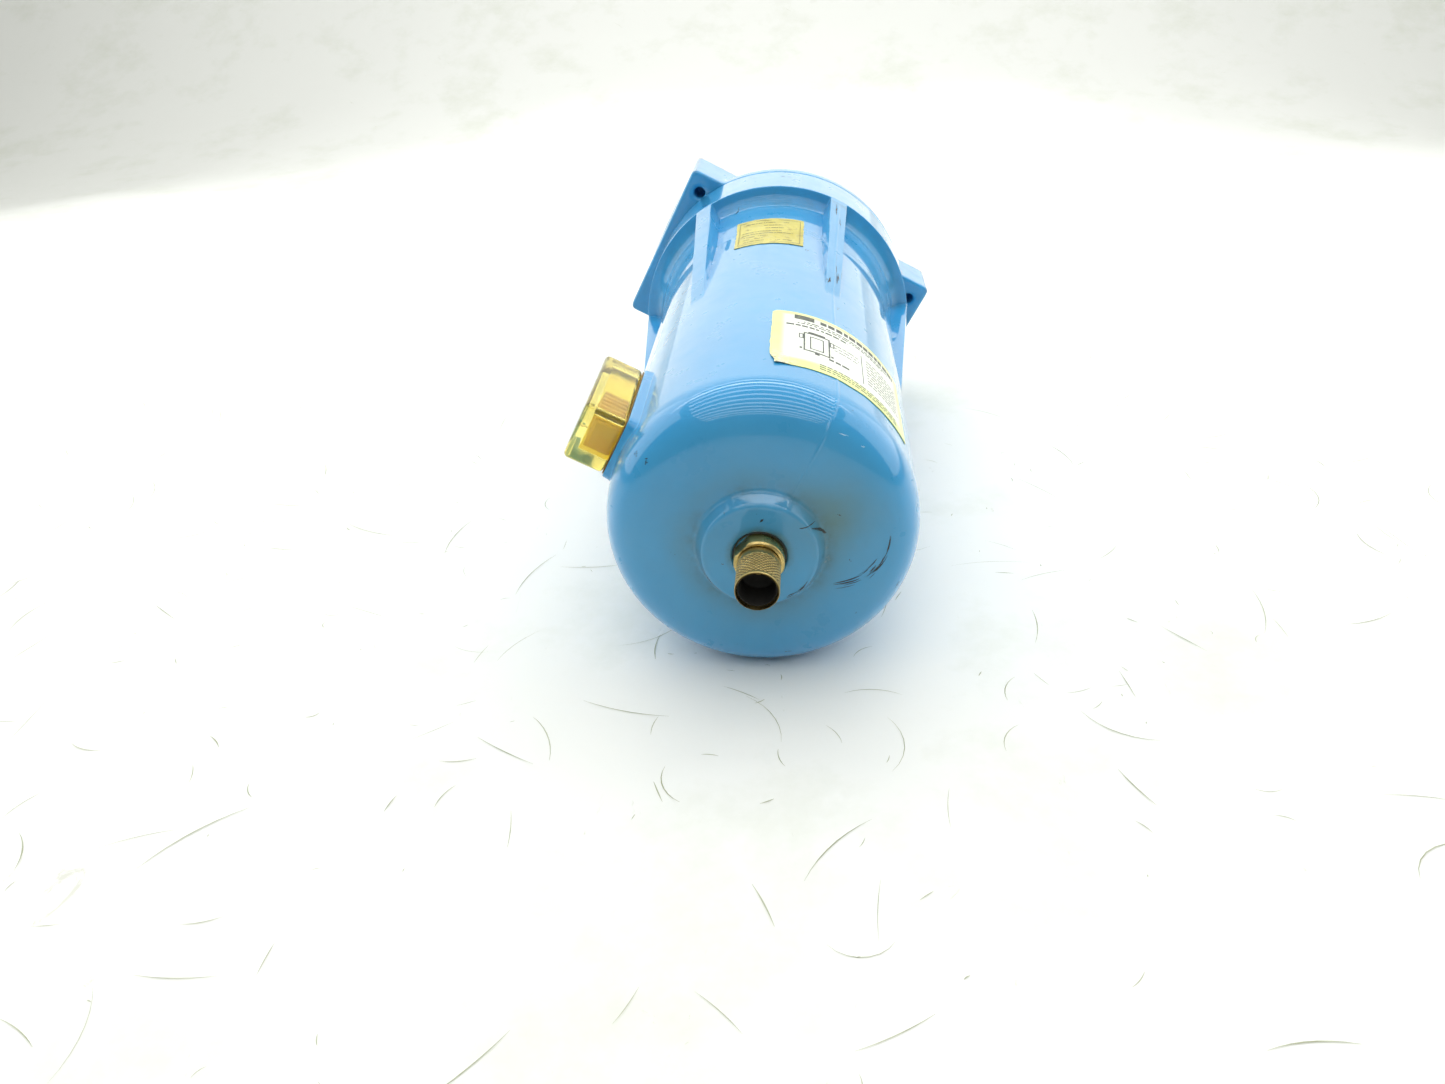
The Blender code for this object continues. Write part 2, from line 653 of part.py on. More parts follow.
def lay_down(frame):
    """Turns the upright filter on its side and sets it on the ground at the world's origin."""
    pad_drop = PORT_FACE * math.sin(ROLL) + PAD_HALF_WIDTH * math.cos(ROLL)
    tilt = math.atan2(pad_drop - BOWL_RADIUS, JOINT_PLANE - DOME_TOP)
    frame.rotation_mode = "ZYX"
    frame.rotation_euler = (tilt - math.pi / 2, 0, ROLL)
    bpy.context.view_layer.update()
    pieces = [item for item in frame.children if not item.hide_render]
    graph = bpy.context.evaluated_depsgraph_get()
    points = [
        item.matrix_world @ vert.co for item in pieces for vert in item.evaluated_get(graph).data.vertices
    ]
    low = Vector(min(p[axis] for p in points) for axis in range(3))
    high = Vector(max(p[axis] for p in points) for axis in range(3))
    middle = (low + high) / 2
    frame.location = (-middle.x, -middle.y, -low.z)


def main():
    clear_scene()
    paint = make_material("blue_enamel", (0.05, 0.42, 0.74), 0.25)
    amber = make_material("amber_clear_plastic", (0.92, 0.66, 0.08), 0.08, transmission=0.8)
    clear = make_material("clear_plastic", (0.95, 0.95, 0.95), 0.05, transmission=0.9)
    print_film = make_material("yellow_print_film", (0.85, 0.86, 0.45), 0.4)
    foil = make_material("gold_foil", (0.72, 0.6, 0.2), 0.35, metallic=0.8)
    brass = make_material("brass", (0.6, 0.47, 0.22), 0.35, metallic=1.0)
    steel = make_material("stainless_steel", (0.6, 0.6, 0.62), 0.3, metallic=1.0)
    rubber = make_material("black_rubber", (0.02, 0.02, 0.02), 0.6)
    black = make_material("black_moulding", (0.03, 0.03, 0.035), 0.45)
    orange = make_material("orange_moulding", (0.85, 0.35, 0.05), 0.4)
    white = make_material("white_dial", (0.9, 0.9, 0.88), 0.5)
    red = make_material("red_pointer", (0.7, 0.05, 0.04), 0.4)
    cap = make_material("grey_moulding", (0.2, 0.21, 0.23), 0.5)
    media = make_material("filter_media", (0.85, 0.83, 0.76), 0.9)
    foam = make_material("open_cell_foam", (0.75, 0.2, 0.1), 0.95)

    frame = bpy.data.objects.new("lying_filter", None)
    bpy.context.collection.objects.link(frame)
    build_bowl(frame, paint)
    build_labels(frame, print_film, foil)
    build_sight_glass(frame, amber, rubber, orange)
    build_head(frame, paint, rubber)
    build_element(frame, cap, steel, media, foam, rubber)
    build_drain(frame, brass, black, rubber, steel, foam)
    build_gauge_case(frame, black, steel, clear, rubber)
    build_gauge_movement(frame, steel, white, red, black)
    lay_down(frame)


main()
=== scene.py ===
"""Looks of the compressed air filter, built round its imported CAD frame.

Every piece is modelled upright, in the filter's own frame: Z runs up its axis from the drain boss
at 0 to the head, X points to the outlet port, and -Y is the side that carries the labels. LYING
then lays it on the ground, as the CAD has it. Lengths are in metres.
"""

import json
import math
import random

import bmesh
import bpy
import numpy as np
from mathutils import Matrix, Vector, noise


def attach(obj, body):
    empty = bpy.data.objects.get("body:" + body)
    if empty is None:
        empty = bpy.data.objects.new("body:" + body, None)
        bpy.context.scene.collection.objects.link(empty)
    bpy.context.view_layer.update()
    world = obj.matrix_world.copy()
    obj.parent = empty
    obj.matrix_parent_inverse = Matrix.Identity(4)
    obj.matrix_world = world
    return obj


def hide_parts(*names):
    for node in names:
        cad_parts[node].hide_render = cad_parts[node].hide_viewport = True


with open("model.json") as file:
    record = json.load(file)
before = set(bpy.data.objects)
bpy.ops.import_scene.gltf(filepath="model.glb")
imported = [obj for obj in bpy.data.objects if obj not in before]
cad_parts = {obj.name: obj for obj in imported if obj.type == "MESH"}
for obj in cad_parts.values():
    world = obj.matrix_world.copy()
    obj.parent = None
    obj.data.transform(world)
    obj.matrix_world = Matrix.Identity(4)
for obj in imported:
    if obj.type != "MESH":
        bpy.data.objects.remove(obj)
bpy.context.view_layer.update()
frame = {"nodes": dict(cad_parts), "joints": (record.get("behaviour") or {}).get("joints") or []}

MM = 0.001
NODES = frame["nodes"]
JOINTS = {joint["name"]: joint for joint in frame["joints"]}

# The filter's own frame, from the joints that share its axes
AXIS = Vector(JOINTS["head_turn"]["axis"]).normalized()
ACROSS = Vector(JOINTS["drain_lever_tilt"]["axis"]).normalized()
LYING = Matrix((ACROSS.cross(AXIS), ACROSS, AXIS)).transposed().to_4x4()
LYING.translation = Vector(JOINTS["head_turn"]["pos_m"])

# Driving dimensions, shared with the CAD; the bowl stays just inside the flat facets of the CAD's wall
BOWL_RADIUS = 52.72 * MM
BOWL_DRAFT = 0.75 * MM
COLLAR_RADIUS = 63.7 * MM
PORT_FACE = 66.7 * MM
PAD_HALF_WIDTH = 39.35 * MM
DOME_TOP = 23.5 * MM
DOME_DEPTH = 17.5 * MM
DOME_CROWN = 1.2 * MM
DOME_POWER = 8.5
COVE_START = 184.0 * MM
COVE_SLOPE = math.radians(4)
COVE_BEND = 7.5 * MM
COVE_LAST_TURN = math.radians(76)
COLLAR_FRONT = 222.5 * MM
JOINT_PLANE = 251.6 * MM
GAP = 0.3 * MM
MARK_LIFT = 0.03 * MM
DRAIN_RADIUS = 7.0 * MM
KNURL_DEPTH = 0.4 * MM

RIB_COUNT = 6
RIB_START = 116.0 * MM
RIB_CREST_HALF = 4.1 * MM
RIB_TIP_HALF = 2.6 * MM
RIB_DRAFT = math.tan(math.radians(7))
RIDGE_HEIGHT = 0.16 * MM
RIDGE_WIDTH = 0.45 * MM

SIGHT_BASE = 55.15 * MM
SIGHT_FRONT = 69.4 * MM
SIGHT_HALF_WIDTH = 11.0 * MM
SIGHT_LOW = 25.8 * MM
SIGHT_HIGH = 69.0 * MM
SIGHT_WALL = 3.8 * MM
SIGHT_PAD_FACE = 54.7 * MM
SIGHT_PAD_MARGIN = 1.6 * MM
SIGHT_SLOTS = (37.4 * MM, 47.4 * MM, 57.4 * MM)

PORT_HEIGHT = 285.6 * MM
PORT_RADIUS = 15.3 * MM
PORT_DEPTH = 24.0 * MM
HEAD_TOP = 316.0 * MM
BRACKET_HOLE = (59.1 * MM, -30.1 * MM)

# Camera, at the place and turn the object is seen from
CAMERA_PLACE = (0.0153, -0.4682, 0.2172)
CAMERA_TURN = (62.22, 2.09, 3.97)
CAMERA_LENS = 27.03


# ---------------------------------------------------------------- shader helpers


class Shader:
    """A material with a Principled shader, and short calls for the nodes that drive it."""

    def __init__(self, name, colour, roughness, metallic=0.0, **sockets):
        self.material = bpy.data.materials.new(name)
        self.material.use_nodes = True
        self.tree = self.material.node_tree
        self.shader = self.tree.nodes["Principled BSDF"]
        self.set("Base Color", (*colour, 1.0))
        self.set("Roughness", roughness)
        self.set("Metallic", metallic)
        for socket, value in sockets.items():
            self.set(socket.replace("_", " "), value)
        self.place = self.upright_place()

    def upright_place(self):
        """Coordinates in the filter's upright frame, whichever way the mesh lies."""
        mapping = self.tree.nodes.new("ShaderNodeMapping")
        mapping.vector_type = "TEXTURE"
        mapping.inputs["Location"].default_value = LYING.translation
        mapping.inputs["Rotation"].default_value = LYING.to_euler()
        lying_place = self.tree.nodes.new("ShaderNodeTexCoord").outputs["Object"]
        self.tree.links.new(lying_place, mapping.inputs["Vector"])
        return mapping.outputs["Vector"]

    def set(self, socket, value):
        self.shader.inputs[socket].default_value = value

    def drive(self, socket, output):
        self.tree.links.new(output, self.shader.inputs[socket])

    def finish(self, colour, roughness, normal):
        """Drives the three sockets that every material here has a texture for."""
        self.drive("Base Color", colour)
        self.drive("Roughness", roughness)
        self.drive("Normal", normal)
        return self.material

    def feed(self, target, value):
        if isinstance(value, bpy.types.NodeSocket):
            self.tree.links.new(value, target)
        else:
            target.default_value = value

    def noise(self, scale, detail=4.0, roughness=0.55, stretch=(1, 1, 1), distortion=0.0):
        mapping = self.tree.nodes.new("ShaderNodeMapping")
        self.tree.links.new(self.place, mapping.inputs["Vector"])
        mapping.inputs["Scale"].default_value = stretch
        node = self.tree.nodes.new("ShaderNodeTexNoise")
        self.tree.links.new(mapping.outputs["Vector"], node.inputs["Vector"])
        node.inputs["Scale"].default_value = scale
        node.inputs["Detail"].default_value = detail
        node.inputs["Roughness"].default_value = roughness
        node.inputs["Distortion"].default_value = distortion
        return node.outputs["Fac"]

    def cells(self, scale, feature="F1", randomness=1.0):
        node = self.tree.nodes.new("ShaderNodeTexVoronoi")
        self.tree.links.new(self.place, node.inputs["Vector"])
        node.feature = feature
        node.inputs["Scale"].default_value = scale
        node.inputs["Randomness"].default_value = randomness
        return node.outputs["Distance"]

    def between(self, value, low, high, to_low=0.0, to_high=1.0):
        """Maps a value from low..high to to_low..to_high, clamped."""
        node = self.tree.nodes.new("ShaderNodeMapRange")
        self.feed(node.inputs["Value"], value)
        node.inputs["From Min"].default_value = low
        node.inputs["From Max"].default_value = high
        node.inputs["To Min"].default_value = to_low
        node.inputs["To Max"].default_value = to_high
        return node.outputs["Result"]

    def maths(self, operation, first, second=0.0):
        node = self.tree.nodes.new("ShaderNodeMath")
        node.operation = operation
        self.feed(node.inputs[0], first)
        self.feed(node.inputs[1], second)
        return node.outputs["Value"]

    def blend(self, share, first, second):
        node = self.tree.nodes.new("ShaderNodeMix")
        node.data_type = "RGBA"
        self.feed(node.inputs["Factor"], share)
        self.feed(node.inputs["A"], first if isinstance(first, bpy.types.NodeSocket) else (*first, 1.0))
        self.feed(node.inputs["B"], second if isinstance(second, bpy.types.NodeSocket) else (*second, 1.0))
        return node.outputs["Result"]

    def attribute(self, name):
        node = self.tree.nodes.new("ShaderNodeAttribute")
        node.attribute_name = name
        return node.outputs["Fac"]

    def bump(self, height, distance, strength=1.0, under=None):
        node = self.tree.nodes.new("ShaderNodeBump")
        self.tree.links.new(height, node.inputs["Height"])
        node.inputs["Distance"].default_value = distance
        node.inputs["Strength"].default_value = strength
        if under:
            self.tree.links.new(under, node.inputs["Normal"])
        return node.outputs["Normal"]


# ---------------------------------------------------------------- materials


def enamel():
    """Sky-blue gloss enamel on a casting: dust, dirt and chips where handled, and painted shade in
    recesses.
    """
    s = Shader(
        "enamel", (0.04, 0.33, 0.66), 0.3, Specular_IOR_Level=0.15, Coat_Weight=1.0, Coat_Roughness=0.02
    )
    shade = s.between(s.noise(22), 0.3, 0.7)
    paint = s.blend(shade, (0.036, 0.32, 0.645), (0.048, 0.355, 0.7))
    film = s.maths("MULTIPLY", s.attribute("dust"), s.between(s.noise(38, detail=6), 0.3, 0.7, 0.6, 1.0))
    dusty = s.blend(film, paint, (0.1, 0.17, 0.09))
    # The mask below darkens the paint: dirt, and painted shade in the bowl's recesses.
    grime_and_shade_spread = s.between(s.noise(55, detail=8, roughness=0.7), 0.42, 0.75)
    grime_and_shade = s.maths("MULTIPLY", s.attribute("grime_and_shade"), grime_and_shade_spread)
    dirty = s.blend(grime_and_shade, dusty, (0.06, 0.1, 0.045))
    specks = s.between(s.noise(420, detail=3, roughness=0.6), 0.7, 0.76)
    specked_at = s.maths("MULTIPLY", specks, s.between(s.noise(35, detail=3), 0.52, 0.62))
    specked = s.blend(s.maths("MULTIPLY", specked_at, 0.7), dirty, (0.02, 0.035, 0.04))
    wear = s.maths("MULTIPLY", s.attribute("wear"), s.between(s.noise(260, detail=6), 0.35, 0.5))
    s.drive("Base Color", s.blend(wear, specked, (0.11, 0.05, 0.03)))
    s.drive("Roughness", s.between(s.maths("ADD", grime_and_shade, s.noise(90)), 0.3, 1.3, 0.25, 0.6))
    s.drive("Coat Roughness", s.between(s.maths("MAXIMUM", grime_and_shade, wear), 0, 0.6, 0.015, 0.35))
    cast = s.bump(s.noise(60, detail=3), 0.0006, 0.12)
    s.drive("Normal", s.bump(s.noise(1100, detail=2), 0.00004, 0.2, under=cast))
    s.drive("Coat Normal", s.bump(s.noise(45, detail=1), 0.0003, 0.06))
    return s.material


def brass():
    """Turned brass, gone olive where it isn't handled, and dark in the knurl."""
    s = Shader("aged_brass", (0.5, 0.38, 0.14), 0.3, metallic=1.0)
    tarnish = s.between(s.noise(160, detail=6, roughness=0.65), 0.35, 0.7)
    metal = s.blend(tarnish, (0.66, 0.5, 0.2), (0.36, 0.28, 0.1))
    turned = s.noise(2500, detail=2, stretch=(0.15, 0.15, 1))
    return s.finish(
        s.blend(s.attribute("groove"), metal, (0.05, 0.035, 0.015)),
        s.between(tarnish, 0, 1, 0.22, 0.42),
        s.bump(turned, 0.00003, 0.5),
    )


def amber():
    """Clear amber moulding with faint flow lines and fingermarks."""
    s = Shader("amber", (0.97, 0.74, 0.14), 0.05, IOR=1.49, Transmission_Weight=0.93)
    flow = s.noise(70, detail=3, stretch=(1, 1, 0.4))
    return s.finish(
        s.blend(s.between(flow, 0.35, 0.65), (0.99, 0.88, 0.3), (0.96, 0.76, 0.14)),
        s.between(s.noise(300, detail=5), 0.3, 0.7, 0.03, 0.12),
        s.bump(flow, 0.0008, 0.25),
    )


def moulding(name, dark, light, roughness=0.4, **sockets):
    """Moulded plastic with a fine spark texture and uneven sheen."""
    s = Shader(name, light, roughness, **sockets)
    return s.finish(
        s.blend(s.between(s.noise(120), 0.3, 0.7), dark, light),
        s.between(s.noise(600, detail=5), 0.3, 0.7, roughness - 0.08, roughness + 0.1),
        s.bump(s.noise(2200, detail=2), 0.00003, 0.5),
    )


def rubber():
    s = Shader("nitrile_rubber", (0.02, 0.02, 0.02), 0.6)
    bloom = s.between(s.noise(350, detail=6), 0.45, 0.75)
    return s.finish(
        s.blend(bloom, (0.012, 0.012, 0.013), (0.05, 0.05, 0.048)),
        s.between(bloom, 0, 1, 0.5, 0.8),
        s.bump(s.noise(1500, detail=3), 0.00005, 0.5),
    )


def steel():
    s = Shader("satin_steel", (0.6, 0.6, 0.62), 0.3, metallic=1.0)
    grain = s.noise(1800, detail=3, stretch=(1, 1, 0.08))
    return s.finish(
        s.blend(grain, (0.5, 0.5, 0.52), (0.68, 0.68, 0.7)),
        s.between(grain, 0.3, 0.7, 0.24, 0.42),
        s.bump(grain, 0.00002, 0.6),
    )


def foam():
    """Open-cell foam: small dark pores between lighter walls."""
    s = Shader("open_cell_foam", (0.6, 0.14, 0.07), 0.95)
    pores = s.between(s.cells(1300), 0.1, 0.6)
    return s.finish(
        s.blend(pores, (0.2, 0.035, 0.02), (0.66, 0.17, 0.08)),
        s.between(pores, 0, 1, 0.8, 1.0),
        s.bump(pores, 0.0004, 0.9),
    )


def media():
    """Pleated glass-fibre paper."""
    s = Shader("filter_media", (0.85, 0.83, 0.76), 0.9)
    fibre = s.noise(1600, detail=6, roughness=0.7)
    return s.finish(
        s.blend(s.between(fibre, 0.3, 0.7), (0.7, 0.67, 0.58), (0.88, 0.86, 0.8)),
        s.between(fibre, 0.3, 0.7, 0.8, 0.98),
        s.bump(fibre, 0.0001, 0.6),
    )


def label_film():
    """Printed film: yellow-green round the edge, pale panel within, scuffed at one corner."""
    s = Shader("label_film", (0.8, 0.85, 0.4), 0.32, Coat_Weight=0.3, Coat_Roughness=0.15)
    panel = s.attribute("panel")
    shade = s.between(s.noise(60, detail=5), 0.3, 0.75)
    edge = s.blend(shade, (0.78, 0.86, 0.24), (0.88, 0.93, 0.38))
    middle = s.blend(shade, (0.9, 0.95, 0.82), (0.96, 0.99, 0.9))
    print_ground = s.blend(panel, edge, middle)
    torn_at = s.maths("MULTIPLY", s.attribute("torn"), s.between(s.noise(500, detail=7), 0.35, 0.6))
    torn = s.blend(s.between(s.noise(700, detail=6), 0.5, 0.68), (0.86, 0.82, 0.66), (0.16, 0.1, 0.04))
    return s.finish(
        s.blend(torn_at, print_ground, torn),
        s.between(torn_at, 0, 1, 0.3, 0.85),
        s.bump(s.noise(260, detail=5), 0.00012, 0.5),
    )


def foil():
    """Gold foil plate: creased, rubbed through in places."""
    s = Shader("gold_foil", (0.6, 0.5, 0.15), 0.38, metallic=0.75)
    rubbed = s.between(s.noise(180, detail=8, roughness=0.7), 0.55, 0.72)
    tone = s.between(s.noise(45, detail=4), 0.3, 0.7)
    gold = s.blend(tone, (0.6, 0.52, 0.12), (0.74, 0.68, 0.24))
    creases = s.noise(150, detail=6, roughness=0.6, distortion=1.5)
    return s.finish(
        s.blend(rubbed, gold, (0.3, 0.22, 0.06)),
        s.between(s.noise(400, detail=6), 0.3, 0.7, 0.3, 0.55),
        s.bump(creases, 0.0004, 0.6),
    )


def ink(name="print_ink", colour=(0.03, 0.045, 0.035)):
    """Printing ink, broken up where it has rubbed."""
    s = Shader(name, colour, 0.45)
    worn = s.between(s.noise(900, detail=6), 0.5, 0.7)
    return s.finish(
        s.blend(worn, colour, (0.2, 0.22, 0.14)),
        s.between(worn, 0, 1, 0.4, 0.6),
        s.bump(s.noise(1500), 0.00002, 0.4),
    )


def grease_and_shadow():
    # Old grease, used for the dark ring round the drain nut, which is also painted shadow in the gap there.
    s = Shader("old_grease_and_shadow", (0.012, 0.012, 0.008), 0.3)
    film = s.noise(500, detail=5)
    return s.finish(
        s.blend(film, (0.006, 0.007, 0.006), (0.04, 0.045, 0.025)),
        s.between(film, 0.3, 0.7, 0.2, 0.6),
        s.bump(film, 0.0002, 0.6),
    )


def clear_plastic():
    s = Shader("clear_plastic", (0.97, 0.98, 0.98), 0.03, IOR=1.49, Transmission_Weight=1.0)
    s.drive("Roughness", s.between(s.noise(500, detail=6), 0.4, 0.8, 0.02, 0.15))
    s.drive("Normal", s.bump(s.noise(120, detail=2), 0.0001, 0.2))
    return s.material


def table_top():
    """A worn white bench top: fine scratches, faint stains."""
    s = Shader("bench_top", (0.86, 0.88, 0.84), 0.45)
    stain = s.between(s.noise(9, detail=7, roughness=0.7), 0.5, 0.8)
    ground = s.blend(stain, (0.88, 0.895, 0.86), (0.74, 0.77, 0.68))
    along = s.noise(30, detail=9, roughness=0.75, stretch=(1, 7, 1), distortion=1.2)
    across = s.noise(34, detail=9, roughness=0.75, stretch=(6, 1, 1), distortion=1.0)
    marks = s.maths("MAXIMUM", s.between(along, 0.66, 0.7), s.between(across, 0.67, 0.71))
    return s.finish(
        s.blend(s.maths("MULTIPLY", marks, 0.35), ground, (0.45, 0.45, 0.3)),
        s.between(s.noise(60, detail=6), 0.3, 0.7, 0.35, 0.6),
        s.bump(marks, 0.0001, 0.3),
    )


# ---------------------------------------------------------------- mesh helpers


def smoothstep(value):
    share = np.clip(value, 0, 1)
    return share * share * (3 - 2 * share)


def add_piece(name, mesh, body, material, replaces=()):
    """Lays a mesh down with the filter, and hangs it on a CAD body."""
    mesh.transform(LYING)
    mesh.materials.clear()
    mesh.materials.append(material)
    piece = link(name, mesh)
    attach(piece, body)
    if replaces:
        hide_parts(*replaces)
    return piece


def ring_mesh(name, rings, sharp=35):
    """A closed skin over rings of points, each joined to the next and the last to the first."""
    rings = np.asarray(rings)
    count, columns, _ = rings.shape
    index = np.arange(count * columns).reshape(count, columns)
    right = np.roll(index, -1, axis=1)
    above = np.roll(index, -1, axis=0)
    corner = np.roll(right, -1, axis=0)
    faces = np.stack([index, right, corner, above], axis=-1).reshape(-1, 4)
    mesh = bpy.data.meshes.new(name)
    mesh.from_pydata(rings.reshape(-1, 3).tolist(), [], faces.tolist())
    return finish_mesh(mesh, sharp)


def link(name, data):
    """A new object in the scene."""
    item = bpy.data.objects.new(name, data)
    bpy.context.scene.collection.objects.link(item)
    return item


def mesh_of(name, shape):
    """A mesh from a bmesh, which is used up."""
    mesh = bpy.data.meshes.new(name)
    shape.to_mesh(mesh)
    shape.free()
    return mesh


def circle(radii, turns, height):
    """Points round the axis at one height."""
    return np.stack([radii * np.cos(turns), radii * np.sin(turns), np.full(turns.shape, height)], -1)


def finish_mesh(mesh, sharp=35):
    """Turns the faces outwards and smooths all but the sharp edges."""
    shape = bmesh.new()
    shape.from_mesh(mesh)
    bmesh.ops.remove_doubles(shape, verts=shape.verts, dist=0.001 * MM)
    bmesh.ops.recalc_face_normals(shape, faces=shape.faces)
    shape.to_mesh(mesh)
    shape.free()
    mesh.shade_smooth()
    mesh.set_sharp_from_angle(angle=math.radians(sharp))
    return mesh


def angles(segments):
    return np.arange(segments) * math.tau / segments


def turned(name, profile, segments=96, radius_of=None, sharp=35):
    """Turns a closed outline of (radius, height) about the axis; radius_of can shape each ring."""
    turns = angles(segments)
    rings = []
    for radius, height in profile:
        radii = np.full(segments, float(radius))
        if radius_of:
            radii = radius_of(radii, turns, height)
        rings.append(circle(radii, turns, height))
    return ring_mesh(name, rings, sharp)


def curve(start, corner, end, steps=5):
    """Points along a bend from start to end that leaves towards corner."""
    points = []
    for i in range(steps + 1):
        t = i / steps
        points.append(tuple(
            (1 - t) ** 2 * a + 2 * t * (1 - t) * b + t * t * c for a, b, c in zip(start, corner, end)
        ))
    return points


def in_mm(*points):
    return [(a * MM, b * MM) for a, b in points]


def rounded_block(name, low, high, radius, segments=4, along=None):
    """A box with rounded edges, all of them or those along one axis."""
    shape = bmesh.new()
    bmesh.ops.create_cube(shape, size=1.0)
    low, high = Vector(low), Vector(high)
    bmesh.ops.scale(shape, vec=high - low, verts=shape.verts)
    bmesh.ops.translate(shape, vec=(low + high) / 2, verts=shape.verts)
    edges = [e for e in shape.edges if along is None or runs_along(e, along)]
    bmesh.ops.bevel(shape, geom=edges, offset=radius, segments=segments, affect="EDGES", profile=0.5)
    return finish_mesh(mesh_of(name, shape))


def runs_along(edge, axis):
    direction = edge.verts[1].co - edge.verts[0].co
    return abs(direction[axis]) > 0.99 * direction.length


def combined(name, base, tools):
    """The base mesh after each tool mesh is joined on or cut out, as (operation, mesh) pairs."""
    target = link(name, base)
    helpers = []
    for operation, mesh in tools:
        helper = link(name + "_tool", mesh)
        helpers.append(helper)
        modifier = target.modifiers.new(operation, "BOOLEAN")
        modifier.operation = operation
        modifier.solver = "EXACT"
        modifier.object = helper
    graph = bpy.context.evaluated_depsgraph_get()
    mesh = bpy.data.meshes.new_from_object(target.evaluated_get(graph))
    for item in [target] + helpers:
        bpy.data.objects.remove(item)
    mesh.name = name
    return mesh


def cast_mesh(name, mesh, grain=1.0 * MM, passes=6):
    """Gives a mesh the soft edges of a painted casting."""
    target = link(name, mesh)
    remesh = target.modifiers.new("remesh", "REMESH")
    remesh.mode = "VOXEL"
    remesh.voxel_size = grain
    soften = target.modifiers.new("soften", "SMOOTH")
    soften.factor = 0.5
    soften.iterations = passes
    graph = bpy.context.evaluated_depsgraph_get()
    soft = bpy.data.meshes.new_from_object(target.evaluated_get(graph))
    bpy.data.objects.remove(target)
    soft.name = name
    soft.shade_smooth()
    return soft


def paint_mask(mesh, name, value_of):
    """Stores a mask on a mesh's points; value_of takes arrays of x, y and z."""
    points = np.zeros(len(mesh.vertices) * 3, np.float32)
    mesh.vertices.foreach_get("co", points)
    x, y, z = points.reshape(-1, 3).T
    layer = mesh.attributes.new(name, "FLOAT", "POINT")
    layer.data.foreach_set("value", np.clip(value_of(x, y, z), 0, 1).astype(np.float32))


# ---------------------------------------------------------------- bowl


def wall_radius(height):
    share = np.clip((height - DOME_TOP) / (COVE_START - DOME_TOP), 0, 1)
    return BOWL_RADIUS + BOWL_DRAFT * share


def cove_profile():
    """Points (height, rise) of the wall between two ribs: a crease, a slow flare, then a tight hollow."""
    full_rise = COLLAR_RADIUS - BOWL_RADIUS - BOWL_DRAFT
    bend_run = COVE_BEND * (math.sin(COVE_LAST_TURN) - math.sin(COVE_SLOPE))
    bend_rise = COVE_BEND * (math.cos(COVE_SLOPE) - math.cos(COVE_LAST_TURN))
    face_run = 0.6 * MM
    slow_rise = (COLLAR_FRONT - face_run - bend_run - COVE_START) * math.tan(COVE_SLOPE)
    points = [(COVE_START, 0.0)]
    for i in range(13):
        turn = COVE_SLOPE + (COVE_LAST_TURN - COVE_SLOPE) * i / 12
        height = COLLAR_FRONT - face_run - COVE_BEND * (math.sin(COVE_LAST_TURN) - math.sin(turn))
        points.append((height, slow_rise + COVE_BEND * (math.cos(COVE_SLOPE) - math.cos(turn))))
    assert slow_rise + bend_rise < full_rise
    points.append((COLLAR_FRONT, full_rise))
    return np.array(points).T


COVE_HEIGHTS, COVE_RISES = cove_profile()


def cove_radius(height):
    """The wall between two ribs."""
    return wall_radius(height) + np.interp(height, COVE_HEIGHTS, COVE_RISES)


def wrap(turns):
    return (turns + math.pi) % math.tau - math.pi


def rib_offset(turns):
    """The angle off the middle of the nearest rib."""
    step = math.tau / RIB_COUNT
    return turns % step - step / 2


def ribbed_radius(turns, height):
    """The outer wall with its ribs, whose sides have draft and soft corners."""
    base = cove_radius(height)
    along = (height - RIB_START) / (COLLAR_FRONT - RIB_START)
    if along <= 0 or height >= COLLAR_FRONT:
        return np.full_like(turns, float(base))
    crest = wall_radius(RIB_START) + (COLLAR_RADIUS - wall_radius(RIB_START)) * along
    rise = max(crest - base, 0)
    half = RIB_TIP_HALF + (RIB_CREST_HALF - RIB_TIP_HALF) * math.sqrt(along)
    across = abs(rib_offset(turns)) * (base + rise)
    flank = max(rise * RIB_DRAFT, 0.5 * MM)
    return base + rise * smoothstep((half + flank - across) / flank)


def ridge(turns, radius):
    """The casting's parting line, up the dome and one rib; the underside, which rests, has none."""
    off = abs(wrap(turns + math.pi / 2))
    return RIDGE_HEIGHT * np.exp(-((off * radius / RIDGE_WIDTH) ** 2))


def with_sight_pad(turns, height, radii):
    """Lifts the wall to the flat pad that carries the sight glass, with a fillet round it."""
    off = wrap(turns - math.pi)
    near = abs(off) < 0.5
    flat = SIGHT_PAD_FACE / np.cos(np.where(near, off, 0))
    corner = 3 * MM
    from_side = SIGHT_HALF_WIDTH + SIGHT_PAD_MARGIN - abs(flat * np.sin(off))
    from_end = min(height - SIGHT_LOW, SIGHT_HIGH - height) + SIGHT_PAD_MARGIN
    side, end = corner - from_side, corner - from_end
    outside = np.hypot(np.maximum(side, 0), max(end, 0)) - corner + np.minimum(np.maximum(side, end), 0)
    share = smoothstep(0.35 - outside / (1.5 * MM))
    return np.where(near, radii + np.maximum(flat - radii, 0) * share, radii)


def bowl_turns():
    """Angles round the bowl, closer together across rib sides, pad edges and the parting line."""
    degrees = set(np.arange(0, 360, 0.75).round(3))
    for rib in range(RIB_COUNT):
        middle = 30 + 60 * rib
        for side in (-1, 1):
            degrees |= {round(middle + side * (3.0 + 0.25 * i), 3) for i in range(17)}
    for side in (-1, 1):
        degrees |= {round(180 + side * (11.5 + 0.25 * i), 3) for i in range(13)}
    degrees |= {round(270 + 0.15 * i, 3) for i in range(-9, 10)}
    return np.radians(np.array(sorted(degrees)) % 360)


